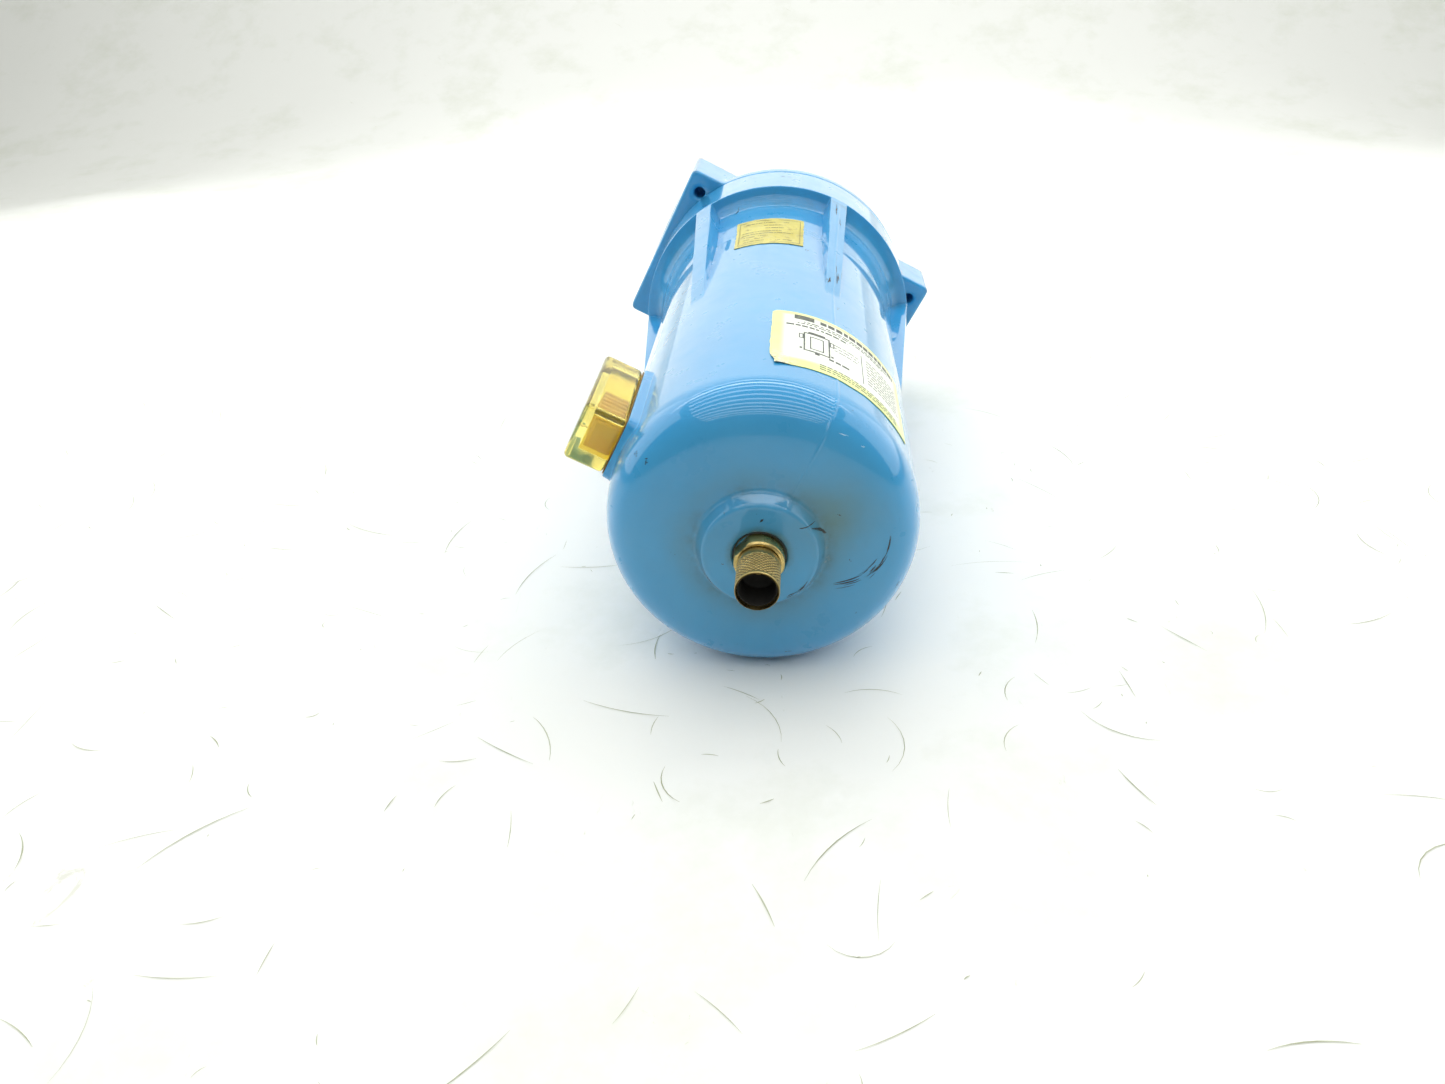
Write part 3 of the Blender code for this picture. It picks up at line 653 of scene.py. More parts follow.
def dome_profile(radius):
    """Points (radius, height) over the dome, from the boss out to the wall."""
    even_to, steps = 0.86, 26
    shares = list(np.linspace(22.5 * MM / radius, even_to, 16))
    turn_from = math.asin(even_to ** (DOME_POWER / 2))
    for i in range(1, steps + 1):
        turn = turn_from + (math.pi / 2 - turn_from) * i / steps
        shares.append(math.sin(turn) ** (2 / DOME_POWER))
    return [
        (
            radius * share,
            DOME_TOP - DOME_DEPTH * math.sqrt(max(1 - share**DOME_POWER, 0)) - DOME_CROWN * (1 - share**2),
        )
        for share in shares
    ]


def boss_profile():
    """The drain boss: a shallow seat round the hole, a flat face and a rounded edge."""
    points = in_mm((6.95, 0.9), (8.8, 0.9))
    points += curve((8.8 * MM, 0.9 * MM), (8.9 * MM, 0), (9.5 * MM, 0), 3)[1:]
    points += in_mm((11.5, 0), (13.5, 0), (15.5, 0), (17.0, 0))
    points += curve((17.4 * MM, 0), (18.8 * MM, 0), (19.15 * MM, 1.2 * MM), 6)
    points += curve((20.6 * MM, 3.7 * MM), (21.1 * MM, 5.0 * MM), (22.3 * MM, 5.02 * MM), 6)
    return points


def bowl_heights():
    rows = np.concatenate([
        np.arange(23.9, 26.5, 0.4), np.arange(27, 68, 1.4), np.arange(68.4, 72.6, 0.4),
        np.arange(74, 113, 3.0), np.arange(114, 184, 1.5), [183.9, 184.1],
        np.arange(184.8, 214, 1.2), np.arange(214.3, 222.4, 0.25), [222.45],
    ])
    return np.unique(rows.round(3)) * MM


def build_bowl(paint):
    turns = bowl_turns()
    across, up = np.cos(turns), np.sin(turns)
    rings = []

    def add_ring(radii, heights):
        radii = np.broadcast_to(radii, turns.shape)
        heights = np.broadcast_to(heights, turns.shape)
        rings.append(np.stack([radii * across, radii * up, heights], -1))

    outline = boss_profile() + dome_profile(BOWL_RADIUS)
    for i, (radius, height) in enumerate(outline):
        before, after = outline[max(i - 1, 0)], outline[min(i + 1, len(outline) - 1)]
        run, climb = after[0] - before[0], after[1] - before[1]
        length = math.hypot(run, climb)
        lift = ridge(turns, radius) * smoothstep((radius - 19 * MM) / (3 * MM))
        add_ring(radius + lift * climb / length, height - lift * run / length)
    for height in bowl_heights():
        fade = smoothstep((COLLAR_FRONT - height) / (12 * MM))
        radii = ribbed_radius(turns, height) + ridge(turns, BOWL_RADIUS) * fade
        add_ring(with_sight_pad(turns, height, radii), height)
    collar = COLLAR_RADIUS
    for radius, height in curve((collar - 0.1 * MM, COLLAR_FRONT + 0.02 * MM), (collar, COLLAR_FRONT),
                                (collar, COLLAR_FRONT + 0.6 * MM), 2):
        add_ring(radius, height)
    for height in np.linspace(COLLAR_FRONT + 2 * MM, JOINT_PLANE - 1.2 * MM, 12):
        add_ring(collar, height)
    top = JOINT_PLANE - GAP
    for radius, height in curve((collar, top - 0.6 * MM), (collar, top), (collar - 0.6 * MM, top), 3):
        add_ring(radius, height)
    inside = in_mm((50.6, 251.3), (50, 251.5), (50, 264), (49.4, 264.6), (45.5, 264.6), (45.5, 250))
    inside += in_mm((48.3, 244), (48.3, 150), (48.3, 30), (46, 20), (38, 13), (20, 10.5), (6.95, 10.2))
    for radius, height in inside:
        add_ring(radius, height)

    mesh = ring_mesh("bowl_casting", rings, sharp=50)
    paint_mask(mesh, "grime_and_shade", bowl_grime_and_shade)
    paint_mask(mesh, "dust", bowl_dust)
    return add_piece("bowl_casting", mesh, "bowl", paint, ["bowl"])


def bowl_grime_and_shade(x, y, z):
    """Painted shade with dirt in the recesses: round the boss, in the hollows under the collar, by the
    drain's seat.
    """
    radius = np.hypot(x, y)
    # The boss, seat and cove terms are painted shade, at the foot of the boss, round the nut and in the
    # coves.
    boss = np.exp(-(((radius - 22 * MM) / (2.5 * MM)) ** 2)) * (z < 8 * MM) * 0.75
    seat = smoothstep((12 * MM - radius) / (3 * MM)) * (z < 2 * MM)
    cove = np.exp(-(((z - 219 * MM) / (4 * MM)) ** 2)) * (radius < COLLAR_RADIUS - 0.3 * MM) * 0.4
    collar = (z > 225 * MM) * 0.12
    return boss + seat + cove + collar


def bowl_dust(x, y, z):
    """A dull film over the dome end, thickest right of the boss."""
    radius = np.hypot(x, y)
    dome = smoothstep((13 * MM - z) / (9 * MM)) * 0.24
    beside = np.exp(-(np.hypot(x - 17 * MM, y + 24 * MM) / (11 * MM)) ** 2) * (z < 12 * MM) * 0.45
    round_boss = np.exp(-(((radius - 25 * MM) / (5 * MM)) ** 2)) * (z < 8 * MM) * 0.2
    return dome + beside + round_boss


def on_dome(turn, radius, lift):
    """A point on the drain end, by its angle and its distance from the axis."""
    outline = np.array(boss_profile()[6:] + dome_profile(BOWL_RADIUS))
    height = float(np.interp(radius, outline[:, 0], outline[:, 1]))
    slope = (float(np.interp(radius + 0.2 * MM, outline[:, 0], outline[:, 1])) - height) / (0.2 * MM)
    tilt = math.atan(slope)
    reach = radius + lift * math.sin(tilt)
    return (reach * math.cos(turn), reach * math.sin(turn), height - lift * math.cos(tilt))


def on_wall(turn, height, lift):
    """A point on the ribbed wall or the collar, by its angle and its height."""
    radius = COLLAR_RADIUS if height > COLLAR_FRONT else float(ribbed_radius(np.array([turn]), height)[0])
    return ((radius + lift) * math.cos(turn), (radius + lift) * math.sin(turn), height)


def add_stroke(shape, spots, width, surface):
    """A ribbon laid on a surface along spots of (degrees, mm), tapering to both ends."""
    rows = []
    points = [Vector(surface(math.radians(turn), along * MM, MARK_LIFT)) for turn, along in spots]
    for i, (turn, along) in enumerate(spots):
        outward = points[i] - Vector(surface(math.radians(turn), along * MM, 0))
        ahead = points[min(i + 1, len(points) - 1)] - points[max(i - 1, 0)]
        side = ahead.cross(outward).normalized() * width * math.sin(math.pi * (i + 0.5) / len(spots))
        rows.append((shape.verts.new(points[i] - side), shape.verts.new(points[i] + side)))
    for (first, second), (third, fourth) in zip(rows, rows[1:]):
        shape.faces.new((first, second, fourth, third))


def build_marks(name, marks, surface, material):
    """Scuffs and scratches: each is a bundle of short strokes scattered along a path."""
    rng = random.Random(name)
    shape = bmesh.new()
    for path, strokes, spread in marks:
        turns, distances = zip(*path)
        spacing = np.linspace(0, 1, len(path))
        for _ in range(strokes):
            start = rng.uniform(0, 0.75)
            end = min(1.0, start + rng.uniform(0.2, 0.5))
            aside = rng.gauss(0, spread)
            spots = []
            for share in np.linspace(start, end, 7):
                turn = np.interp(share, spacing, turns) + math.degrees(rng.gauss(0, 0.05) / 40) + aside
                distance = np.interp(share, spacing, distances) + rng.gauss(0, 0.05) + aside * 0.6
                spots.append((float(turn), float(distance)))
            add_stroke(shape, spots, rng.uniform(0.04, 0.2) * MM, surface)
    mesh = mesh_of(name, shape)
    add_piece(name, mesh, "bowl", material)


def build_wear_marks(scuff, bare):
    dome_marks = (
        (((-66, 17.0), (-63, 18.6), (-60, 20.2)), 26, 1.1),
        (((-60, 18.8), (-52, 20.4), (-43, 21.8)), 20, 0.35),
        (((-33, 42.2), (-24, 41.2), (-18, 39.7), (-12, 37.4)), 13, 0.4),
        (((-20, 39.2), (-10, 36.0), (3, 28.0)), 16, 1.3),
        (((-9, 48.6), (-5, 48.0)), 5, 0.2),
        (((-55, 27.8), (-52, 28.8)), 4, 0.3),
        (((-154, 18.3), (-153, 18.8)), 5, 0.3),
        (((49, 44.4), (52, 44.2)), 6, 0.2),
        (((137, 12.4), (140, 12.7)), 4, 0.4),
        (((-20, 29.2), (-18, 29.4)), 3, 0.4),
        (((-169, 46.6), (-167, 46.2)), 8, 0.7),
        (((-171, 49.9), (-169, 49.5)), 6, 0.4),
        (((-118, 12.4), (-108, 14.6)), 4, 0.4),
        (((0, 18.0), (18, 18.4), (34, 18.0)), 9, 0.5),
    )
    wall_marks = (
        (((-91, 217), (-90.8, 203)), 9, 0.25),
        (((-89.2, 200), (-88.5, 190)), 5, 0.25),
        (((-91.5, 133), (-92.8, 124)), 12, 0.5),
        (((-89, 146), (-88.4, 128)), 8, 0.3),
        (((-88, 104), (-88, 101)), 3, 0.3),
        (((-135.2, 219.5), (-137, 215.5)), 9, 0.5),
        (((-112, 240.6), (-116, 241.4)), 4, 0.6),
        (((-101, 164), (-101.5, 160)), 3, 0.5),
    )
    light_marks = (
        (((-86, 46.2), (-80, 47.0)), 4, 0.15),
        (((-76, 46.7), (-73, 47.1)), 3, 0.15),
    )
    build_marks("scuffs_on_dome", dome_marks, on_dome, scuff)
    build_marks("scuffs_on_wall", wall_marks, on_wall, scuff)
    build_marks("bare_scratches", light_marks, on_dome, bare)


# ---------------------------------------------------------------- head


def pad_outline(half, low, straight, high, high_half):
    return [
        (-half, low), (half, low), (half, straight),
        (high_half, high), (-high_half, high), (-half, straight),
    ]


def prism_along_x(name, outline, half_length, corner):
    """Extrudes an outline of (y, z) along X and rounds its upright corners."""
    shape = bmesh.new()
    base = shape.faces.new([shape.verts.new((-half_length, y, z)) for y, z in outline])
    far = bmesh.ops.extrude_face_region(shape, geom=[base])
    moved = [v for v in far["geom"] if isinstance(v, bmesh.types.BMVert)]
    bmesh.ops.translate(shape, vec=(2 * half_length, 0, 0), verts=moved)
    upright = [e for e in shape.edges if runs_along(e, 2)]
    bmesh.ops.bevel(shape, geom=upright, offset=corner, segments=5, affect="EDGES", profile=0.5)
    return finish_mesh(mesh_of(name, shape))


def rod_mesh(name, start, end, radius, segments=32):
    """A solid cylinder between two points."""
    start, end = Vector(start), Vector(end)
    shape = bmesh.new()
    bmesh.ops.create_cone(
        shape, cap_ends=True, segments=segments, radius1=radius, radius2=radius, depth=(end - start).length
    )
    turn = (end - start).to_track_quat("Z", "Y").to_matrix().to_4x4()
    turn.translation = (start + end) / 2
    bmesh.ops.transform(shape, matrix=turn, verts=shape.verts)
    return mesh_of(name, shape)


def head_tools():
    """What is joined to the head's dome, and what is machined out of it."""
    pads = prism_along_x(
        "pads",
        pad_outline(PAD_HALF_WIDTH, JOINT_PLANE - 3 * MM, 281.4 * MM, HEAD_TOP - 1 * MM, 24 * MM),
        PORT_FACE,
        2.6 * MM,
    )
    boss = rounded_block(
        "boss", (-22.5 * MM, -22.5 * MM, 308 * MM), (22.5 * MM, 22.5 * MM, 320 * MM), 4 * MM, 5, along=2
    )
    well = in_mm((0.01, 240), (50.4, 240), (50.4, 256.8), (52.3, 256.8), (52.3, 259.6), (50.4, 259.6))
    well += in_mm((50.4, 265.2), (15.4, 265.2), (15.4, 283), (0.01, 283))
    underside = rounded_block(
        "underside", (-80 * MM, -80 * MM, 240 * MM), (80 * MM, 80 * MM, JOINT_PLANE), 1 * MM, 1
    )
    tools = [("UNION", pads), ("UNION", boss), ("DIFFERENCE", underside)]
    tools.append(("DIFFERENCE", turned("well", well, 128)))
    for side, passage_end in ((-1, -8 * MM), (1, 24 * MM)):
        for radius, low, high in (
            (12 * MM, passage_end, PORT_FACE - PORT_DEPTH + 1 * MM),
            (PORT_RADIUS, PORT_FACE - PORT_DEPTH, PORT_FACE + 2 * MM),
        ):
            start = (side * low, 0, PORT_HEIGHT)
            end = (side * high, 0, PORT_HEIGHT)
            tools.append(("DIFFERENCE", rod_mesh("port", start, end, radius, 64)))
    for x in (-BRACKET_HOLE[0], BRACKET_HOLE[0]):
        start = (x, BRACKET_HOLE[1], 245 * MM)
        tools.append(("DIFFERENCE", rod_mesh("hole", start, (*start[:2], 263.6 * MM), 2.9 * MM)))
    return tools


def build_head(paint):
    skirt = in_mm((0.01, 250), (63.7, 250), (63.7, 259.4), (62.9, 260.2), (57.5, 262.5), (56.8, 273))
    skirt += in_mm((56.5, 284), (55.2, 292), (53, 298), (49.5, 304.5), (45, 309), (40, 313), (34, 316))
    skirt += in_mm((0.01, 316))
    mesh = combined("head_casting", turned("head_skirt", skirt, 160), head_tools())
    mesh = cast_mesh("head_casting", mesh)
    paint_mask(mesh, "grime_and_shade", lambda x, y, z: 0.25 + 0 * x)
    paint_mask(mesh, "wear", head_wear)
    return add_piece("head_casting", mesh, "head", paint, ["head"])


def head_wear(x, y, z):
    """Bare, rusty metal along the corners of the pads where they get knocked."""
    side = PORT_FACE - abs(x)
    edge = PAD_HALF_WIDTH - abs(y)
    back = 281.4 * MM - z
    near_back = np.exp(-((back / (1.4 * MM)) ** 2)) * (edge < 1.5 * MM)
    near_corner = np.exp(-((np.hypot(side, edge) / (1.6 * MM)) ** 2)) * 0.7
    return near_back + near_corner


# ---------------------------------------------------------------- sight glass


def build_sight_glass(amber_plastic, orange, dark):
    half = SIGHT_HALF_WIDTH
    outer = rounded_block(
        "sight_glass_block", (-SIGHT_FRONT, -half, SIGHT_LOW), (-SIGHT_BASE, half, SIGHT_HIGH), 1.7 * MM, 5
    )
    inner_half = half - SIGHT_WALL
    cavity = rounded_block(
        "cavity",
        (-SIGHT_FRONT + SIGHT_WALL, -inner_half, SIGHT_LOW + SIGHT_WALL),
        (-50 * MM, inner_half, SIGHT_HIGH - SIGHT_WALL),
        1.2 * MM,
        3,
        along=0,
    )
    mesh = finish_mesh(combined("sight_glass_block", outer, [("DIFFERENCE", cavity)]), 40)
    add_piece("sight_glass_block", mesh, "bowl", amber_plastic, ["sight_glass"])

    seam = rounded_block(
        "sight_seam",
        (-SIGHT_BASE + 0.03 * MM, -half + 0.3 * MM, SIGHT_LOW + 0.3 * MM),
        (-SIGHT_PAD_FACE - 0.03 * MM, half - 0.3 * MM, SIGHT_HIGH - 0.3 * MM),
        0.15 * MM,
        2,
    )
    add_piece("sight_seam", seam, "bowl", dark, ["sight_glass_gasket"])
    for number, height in enumerate(SIGHT_SLOTS, 1):
        low = (-SIGHT_BASE - 0.5 * MM, -2 * MM, height - 1.7 * MM)
        high = (-SIGHT_BASE - 0.02 * MM, 2 * MM, height + 1.7 * MM)
        add_piece(f"sight_slot_{number}", rounded_block("slot", low, high, 0.1 * MM, 2), "bowl", dark)

    low = SIGHT_LOW + SIGHT_WALL + 1 * MM
    front, back = -SIGHT_FRONT + SIGHT_WALL + 1 * MM, -SIGHT_BASE - 0.7 * MM
    core_low = (front + 0.6 * MM, -5 * MM, low)
    core_high = (back - 0.4 * MM, 5 * MM, low + 15 * MM)
    mesh = rounded_block("float_core", core_low, core_high, 0.8 * MM, 3)
    fins = []
    for i in range(6):
        height = low + (0.9 + 2.64 * i) * MM
        fin_low = (front, -6.1 * MM, height)
        fin_high = (back, 6.1 * MM, height + 1.1 * MM)
        fins.append(("UNION", rounded_block("fin", fin_low, fin_high, 0.35 * MM, 2)))
    mesh = finish_mesh(combined("level_float_ribbed", mesh, fins), 40)
    add_piece("level_float_ribbed", mesh, "level_float", orange, ["level_float"])


# ---------------------------------------------------------------- drain


def knurl(radii, turns, height):
    """Cuts two crossing sets of helical grooves into the grip."""
    low, high = -19.3 * MM, -8.5 * MM
    if not low <= height <= high:
        return radii
    grip = smoothstep((height - low) / (0.4 * MM)) * smoothstep((high - height) / (0.4 * MM))
    starts = 30
    lead = math.tau * DRAIN_RADIUS / starts
    depth = 0.0
    for hand in (-1, 1):
        phase = (turns * starts / math.tau + hand * height / lead) % 1
        from_middle = abs(phase - 0.5) * 2
        depth = np.maximum(depth, np.clip(from_middle * 2.2 - 1.2, 0, 1))
    return np.where(radii > 6.8 * MM, radii - KNURL_DEPTH * depth * grip, radii)


def build_drain(brass_metal, dark, soot_and_shade):
    grip = [(DRAIN_RADIUS, height) for height in np.arange(-19.35, -8.4, 0.135) * MM]
    profile = in_mm((6.5, -20.38), (6.75, -20.38), (7.0, -20.1), (7.0, -19.4)) + grip
    profile += in_mm((7.0, -8.3), (7.0, -5.9), (6.8, -5.4), (4.6, -5.4), (4.6, 2.8), (3.6, 2.8), (3.6, 5.2))
    profile += in_mm((4.6, 5.2), (4.6, 9), (3.4, 11), (2.2, 11), (2.2, -7), (6.1, -9), (6.2, -19.6))
    mesh = turned("drain_outlet", profile, 360, knurl, sharp=60)

    def groove(x, y, z):
        cut_in = DRAIN_RADIUS - np.hypot(x, y)
        return smoothstep(cut_in / KNURL_DEPTH * 1.3) * (z < -8 * MM) * (cut_in < 2 * KNURL_DEPTH)

    paint_mask(mesh, "groove", groove)
    add_piece("drain_outlet", mesh, "drain_stem", brass_metal, ["drain_stem"])
    # A dark lining down the bore: painted shade in the deep bore, with soot.
    lining = in_mm((6.12, -19.0), (6.02, -9.1), (2.3, -7.2), (2.3, -7.3), (5.9, -9.2), (5.95, -19.0))
    add_piece("drain_bore_soot_and_shade", turned("drain_bore_soot_and_shade", lining, 96), "drain_stem", soot_and_shade)

    def with_flats(radii, turns, height):
        reach = 7.5 * MM
        for middle in (math.radians(-165), math.radians(15)):
            off = wrap(turns - middle)
            flat = np.where(abs(off) < 1.2, reach / np.cos(np.where(abs(off) < 1.2, off, 0)), 1.0)
            radii = np.where(radii > reach, np.minimum(radii, flat), radii)
        return radii

    nut = in_mm((6.95, -5), (7.5, -5), (7.7, -4.9), (8.1, -4.45), (8.2, -4.2), (8.2, 0.8), (6.95, 0.8))
    mesh = turned("drain_ring_nut", nut, 180, with_flats)
    add_piece("drain_ring_nut", mesh, "bowl", brass_metal, ["drain_nut"])

    # A dark ring in the gap between the nut and its seat: painted shadow there, with old grease.
    film = in_mm((8.3, 0.85), (8.75, 0.85), (8.75, 0.5), (8.5, 0.3), (8.3, 0.3))
    add_piece("drain_grease_and_shadow", turned("drain_grease_and_shadow", film, 96), "bowl", dark)


# ---------------------------------------------------------------- labels


def on_bowl(turn, height, lift):
    radius = float(cove_radius(height)) + lift
    return (radius * math.cos(turn), radius * math.sin(turn), height)


def sheet_mesh(name, point_of, columns, rows, thickness):
    """A closed thin sheet; point_of(u, v, lift) gives a point for u and v from 0 to 1."""
    shape = bmesh.new()
    layers = []
    for lift in (0, thickness):
        layers.append([
            [shape.verts.new(point_of(i / columns, j / rows, lift)) for i in range(columns + 1)]
            for j in range(rows + 1)
        ])
    for grid in layers:
        for low_row, high_row in zip(grid, grid[1:]):
            for i in range(columns):
                shape.faces.new((low_row[i], low_row[i + 1], high_row[i + 1], high_row[i]))
    inner, outer = layers
    for i in range(columns):
        for row in (0, rows):
            shape.faces.new((inner[row][i], inner[row][i + 1], outer[row][i + 1], outer[row][i]))
    for row in range(rows):
        for i in (0, columns):
            shape.faces.new((inner[row][i], inner[row + 1][i], outer[row + 1][i], outer[row][i]))
    return finish_mesh(mesh_of(name, shape), 50)


class Label:
    """A rectangle wrapped on the bowl, with print laid on it as thin raised strips."""

    def __init__(self, first, last, low, high, lift):
        self.first, self.last = math.radians(first), math.radians(last)
        self.low, self.high = low, high
        self.lift = lift
        self.strips = bmesh.new()

    def point(self, u, v, lift=0.0):
        turn = self.first + (self.last - self.first) * u
        return on_bowl(turn, self.low + (self.high - self.low) * v, self.lift + lift)

    def strip(self, u0, v0, u1, v1, lift=0.17 * MM):
        """Prints a bar between two corners."""
        steps = max(2, int(abs(u1 - u0) * 40))
        across = [u0 + (u1 - u0) * i / steps for i in range(steps + 1)]
        rows = [[self.strips.verts.new(self.point(u, v, lift)) for u in across] for v in (v0, v1)]
        for i in range(steps):
            self.strips.faces.new((rows[0][i], rows[0][i + 1], rows[1][i + 1], rows[1][i]))

    def frame(self, u0, v0, u1, v1, line_u=0.006, line_v=0.01):
        """Prints the outline of a box."""
        self.strip(u0, v0, u1, v0 + line_v)
        self.strip(u0, v1 - line_v, u1, v1)
        self.strip(u0, v0, u0 + line_u, v1)
        self.strip(u1 - line_u, v0, u1, v1)

    def words(self, rng, u0, u1, v, height, shortest=0.012, longest=0.05):
        """Prints a row of short bars in place of a line of text."""
        u = u0
        while u < u1:
            end = min(u + rng.uniform(shortest, longest), u1)
            self.strip(u, v, end, v + height)
            u = end + rng.uniform(0.006, 0.012)

    def print_mesh(self, name):
        mesh = mesh_of(name, self.strips)
        mesh.shade_smooth()
        return mesh


def build_rating_label(film, print_ink):
    """A printed label, its lower left corner scuffed and lifted."""
    label = Label(-115, -54.5, 32.4 * MM, 81.7 * MM, 0.12 * MM)

    def edge_point(u, v, lift):
        ragged = noise.noise(Vector((u * 9, v * 9, 3))) * 0.012
        corner = smoothstep(1 - math.hypot(u / 0.16, v / 0.2))
        top_corner = max(0.0, 0.03 - math.hypot(u, 1 - v)) * 0.5
        u_moved = u + (ragged * 0.6 + 0.03 * corner) * (1 - u) ** 6 + top_corner
        v_moved = v + ragged * (1 - v) ** 6 - top_corner
        return label.point(u_moved, v_moved, lift + 0.5 * MM * float(corner))

    mesh = sheet_mesh("rating_label_film", edge_point, 96, 60, 0.15 * MM)

    def share_across(x, y):
        return (np.arctan2(y, x) - label.first) / (label.last - label.first)

    def panel(x, y, z):
        u = share_across(x, y)
        v = (z - label.low) / (label.high - label.low)
        inside = np.minimum(np.minimum(u - 0.05, 0.97 - u) * 1.2, np.minimum(v - 0.1, 0.97 - v))
        return smoothstep(inside / 0.06)

    def torn(x, y, z):
        u = share_across(x, y)
        v = (z - label.low) / (label.high - label.low)
        return smoothstep(1.4 - np.hypot(u / 0.15, v / 0.22))

    paint_mask(mesh, "panel", panel)
    paint_mask(mesh, "torn", torn)
    add_piece("rating_label_film", mesh, "bowl", film, ["rating_label"])

    rng = random.Random(5)
    label.strip(0.14, 0.87, 0.27, 0.955)
    label.words(rng, 0.31, 0.93, 0.875, 0.06, 0.03, 0.05)
    label.words(rng, 0.2, 0.86, 0.825, 0.018)
    label.words(rng, 0.16, 0.8, 0.79, 0.018)
    label.words(rng, 0.09, 0.5, 0.735, 0.028, 0.02, 0.05)
    build_diagram(label, 0.17, 0.3, 0.23, 0.34)
    label.strip(0.6, 0.2, 0.606, 0.7)
    label.words(rng, 0.36, 0.5, 0.26, 0.03, 0.03, 0.05)
    for i in range(9):
        label.words(rng, 0.64, 0.93, 0.66 - 0.05 * i, 0.014)
    for i in range(3):
        label.words(rng, 0.4, 0.58, 0.58 - 0.05 * i, 0.012)
    for i in range(3):
        label.words(rng, 0.3, 0.9, 0.12 - 0.035 * i, 0.014)
    add_piece("rating_label_print", label.print_mesh("rating_label_print"), "bowl", print_ink)


def build_diagram(label, u0, v0, width, height):
    """A small generic section drawing: nested boxes with two side ports and feet."""
    label.frame(u0 + 0.03, v0, u0 + width - 0.03, v0 + height, 0.01, 0.02)
    label.frame(u0 + 0.07, v0 + 0.05, u0 + width - 0.07, v0 + height - 0.06, 0.008, 0.014)
    for side_u in (u0, u0 + width - 0.03):
        label.frame(side_u, v0 + height * 0.62, side_u + 0.03, v0 + height * 0.88, 0.007, 0.014)
        label.strip(side_u + 0.006, v0 + 0.02, side_u + 0.022, v0 + 0.05)
    label.strip(u0 + 0.06, v0 + height, u0 + width - 0.06, v0 + height + 0.025)
    label.strip(u0 + width / 2 - 0.015, v0 - 0.03, u0 + width / 2 + 0.015, v0)


def build_nameplate(gold, print_ink):
    """A creased foil plate whose stamped text has worn away to a few marks."""
    plate = Label(-135.4, -103.6, 164.7 * MM, 199.6 * MM, 0.15 * MM)

    def creased_point(u, v, lift):
        ripple = noise.noise(Vector((u * 5, v * 5, 8))) + 0.5 * noise.noise(Vector((u * 14, v * 12, 2)))
        edge = noise.noise(Vector((u * 12, v * 12, 5))) * 0.012
        return plate.point(u + edge * (1 - 2 * u), v + edge * (1 - 2 * v), lift + 0.12 * MM * ripple)

    mesh = sheet_mesh("nameplate_foil", creased_point, 60, 50, 0.15 * MM)
    add_piece("nameplate_foil", mesh, "bowl", gold, ["nameplate"])

    rng = random.Random(11)
    for i in range(8):
        height = 0.84 - 0.1 * i
        start = 0.08 + rng.uniform(0, 0.1)
        plate.words(rng, start, rng.uniform(0.6, 0.92), height, 0.016, 0.02, 0.09)
    plate.frame(0.05, 0.06, 0.95, 0.94, 0.006, 0.008)
    add_piece("nameplate_print", plate.print_mesh("nameplate_print"), "bowl", print_ink)


# ---------------------------------------------------------------- element and gauge


def build_pleats(paper):
    """The element's media, folded into pleats between its two cores."""
    segments = 60 * 8
    turns = angles(segments)
    wave = 0.5 + 0.5 * np.sign(np.sin(turns * 60)) * abs(np.sin(turns * 60)) ** 0.6
    inner = (20.3 + 9.4 * wave) * MM
    rings = []
    for radii, heights in (
        (inner, np.linspace(84.4, 237.6, 24)), (inner + 1.1 * MM, np.linspace(237.6, 84.4, 24)),
    ):
        for height in heights * MM:
            rings.append(circle(radii, turns, height))
    mesh = ring_mesh("element_pleats", rings, sharp=60)
    add_piece("element_pleats", mesh, "element", paper, ["element_media"])


def build_dial_marks(print_ink, green, red):
    """Ticks and coloured bands on the gauge's dial, as thin raised strips."""
    for name, material, low, high in (
        ("dial_band_clean", green, 180, 232), ("dial_band_change", red, 232, 270),
    ):
        shape = bmesh.new()
        steps = 24
        rows = []
        for radius in (11.4 * MM, 13.0 * MM):
            turns = [math.radians(low + (high - low) * i / steps) for i in range(steps + 1)]
            rows.append([
                shape.verts.new((radius * math.cos(t), radius * math.sin(t), 339.25 * MM)) for t in turns
            ])
        for i in range(steps):
            shape.faces.new((rows[0][i], rows[0][i + 1], rows[1][i + 1], rows[1][i]))
        mesh = mesh_of(name, shape)
        add_piece(name, mesh, "head", material)
    shape = bmesh.new()
    for i in range(10):
        turn = math.radians(180 + 10 * i)
        outward = Vector((math.cos(turn), math.sin(turn), 0))
        beside = Vector((-outward.y, outward.x, 0)) * 0.12 * MM
        reach = 13.4 * MM
        length = (1.6 if i % 3 == 0 else 0.9) * MM
        foot = Vector((0, 0, 339.27 * MM))
        shape.faces.new([
            shape.verts.new(foot + outward * r + beside * s)
            for r, s in ((reach, -1), (reach, 1), (reach + length, 1), (reach + length, -1))
        ])
    mesh = mesh_of("dial_ticks", shape)
    add_piece("dial_ticks", mesh, "head", print_ink)


def dress_nodes(materials):
    """Gives the CAD nodes that stay in view their finished materials."""
    for material, names in materials:
        for name in names:
            NODES[name].data.materials.clear()
            NODES[name].data.materials.append(material)


# ---------------------------------------------------------------- stage


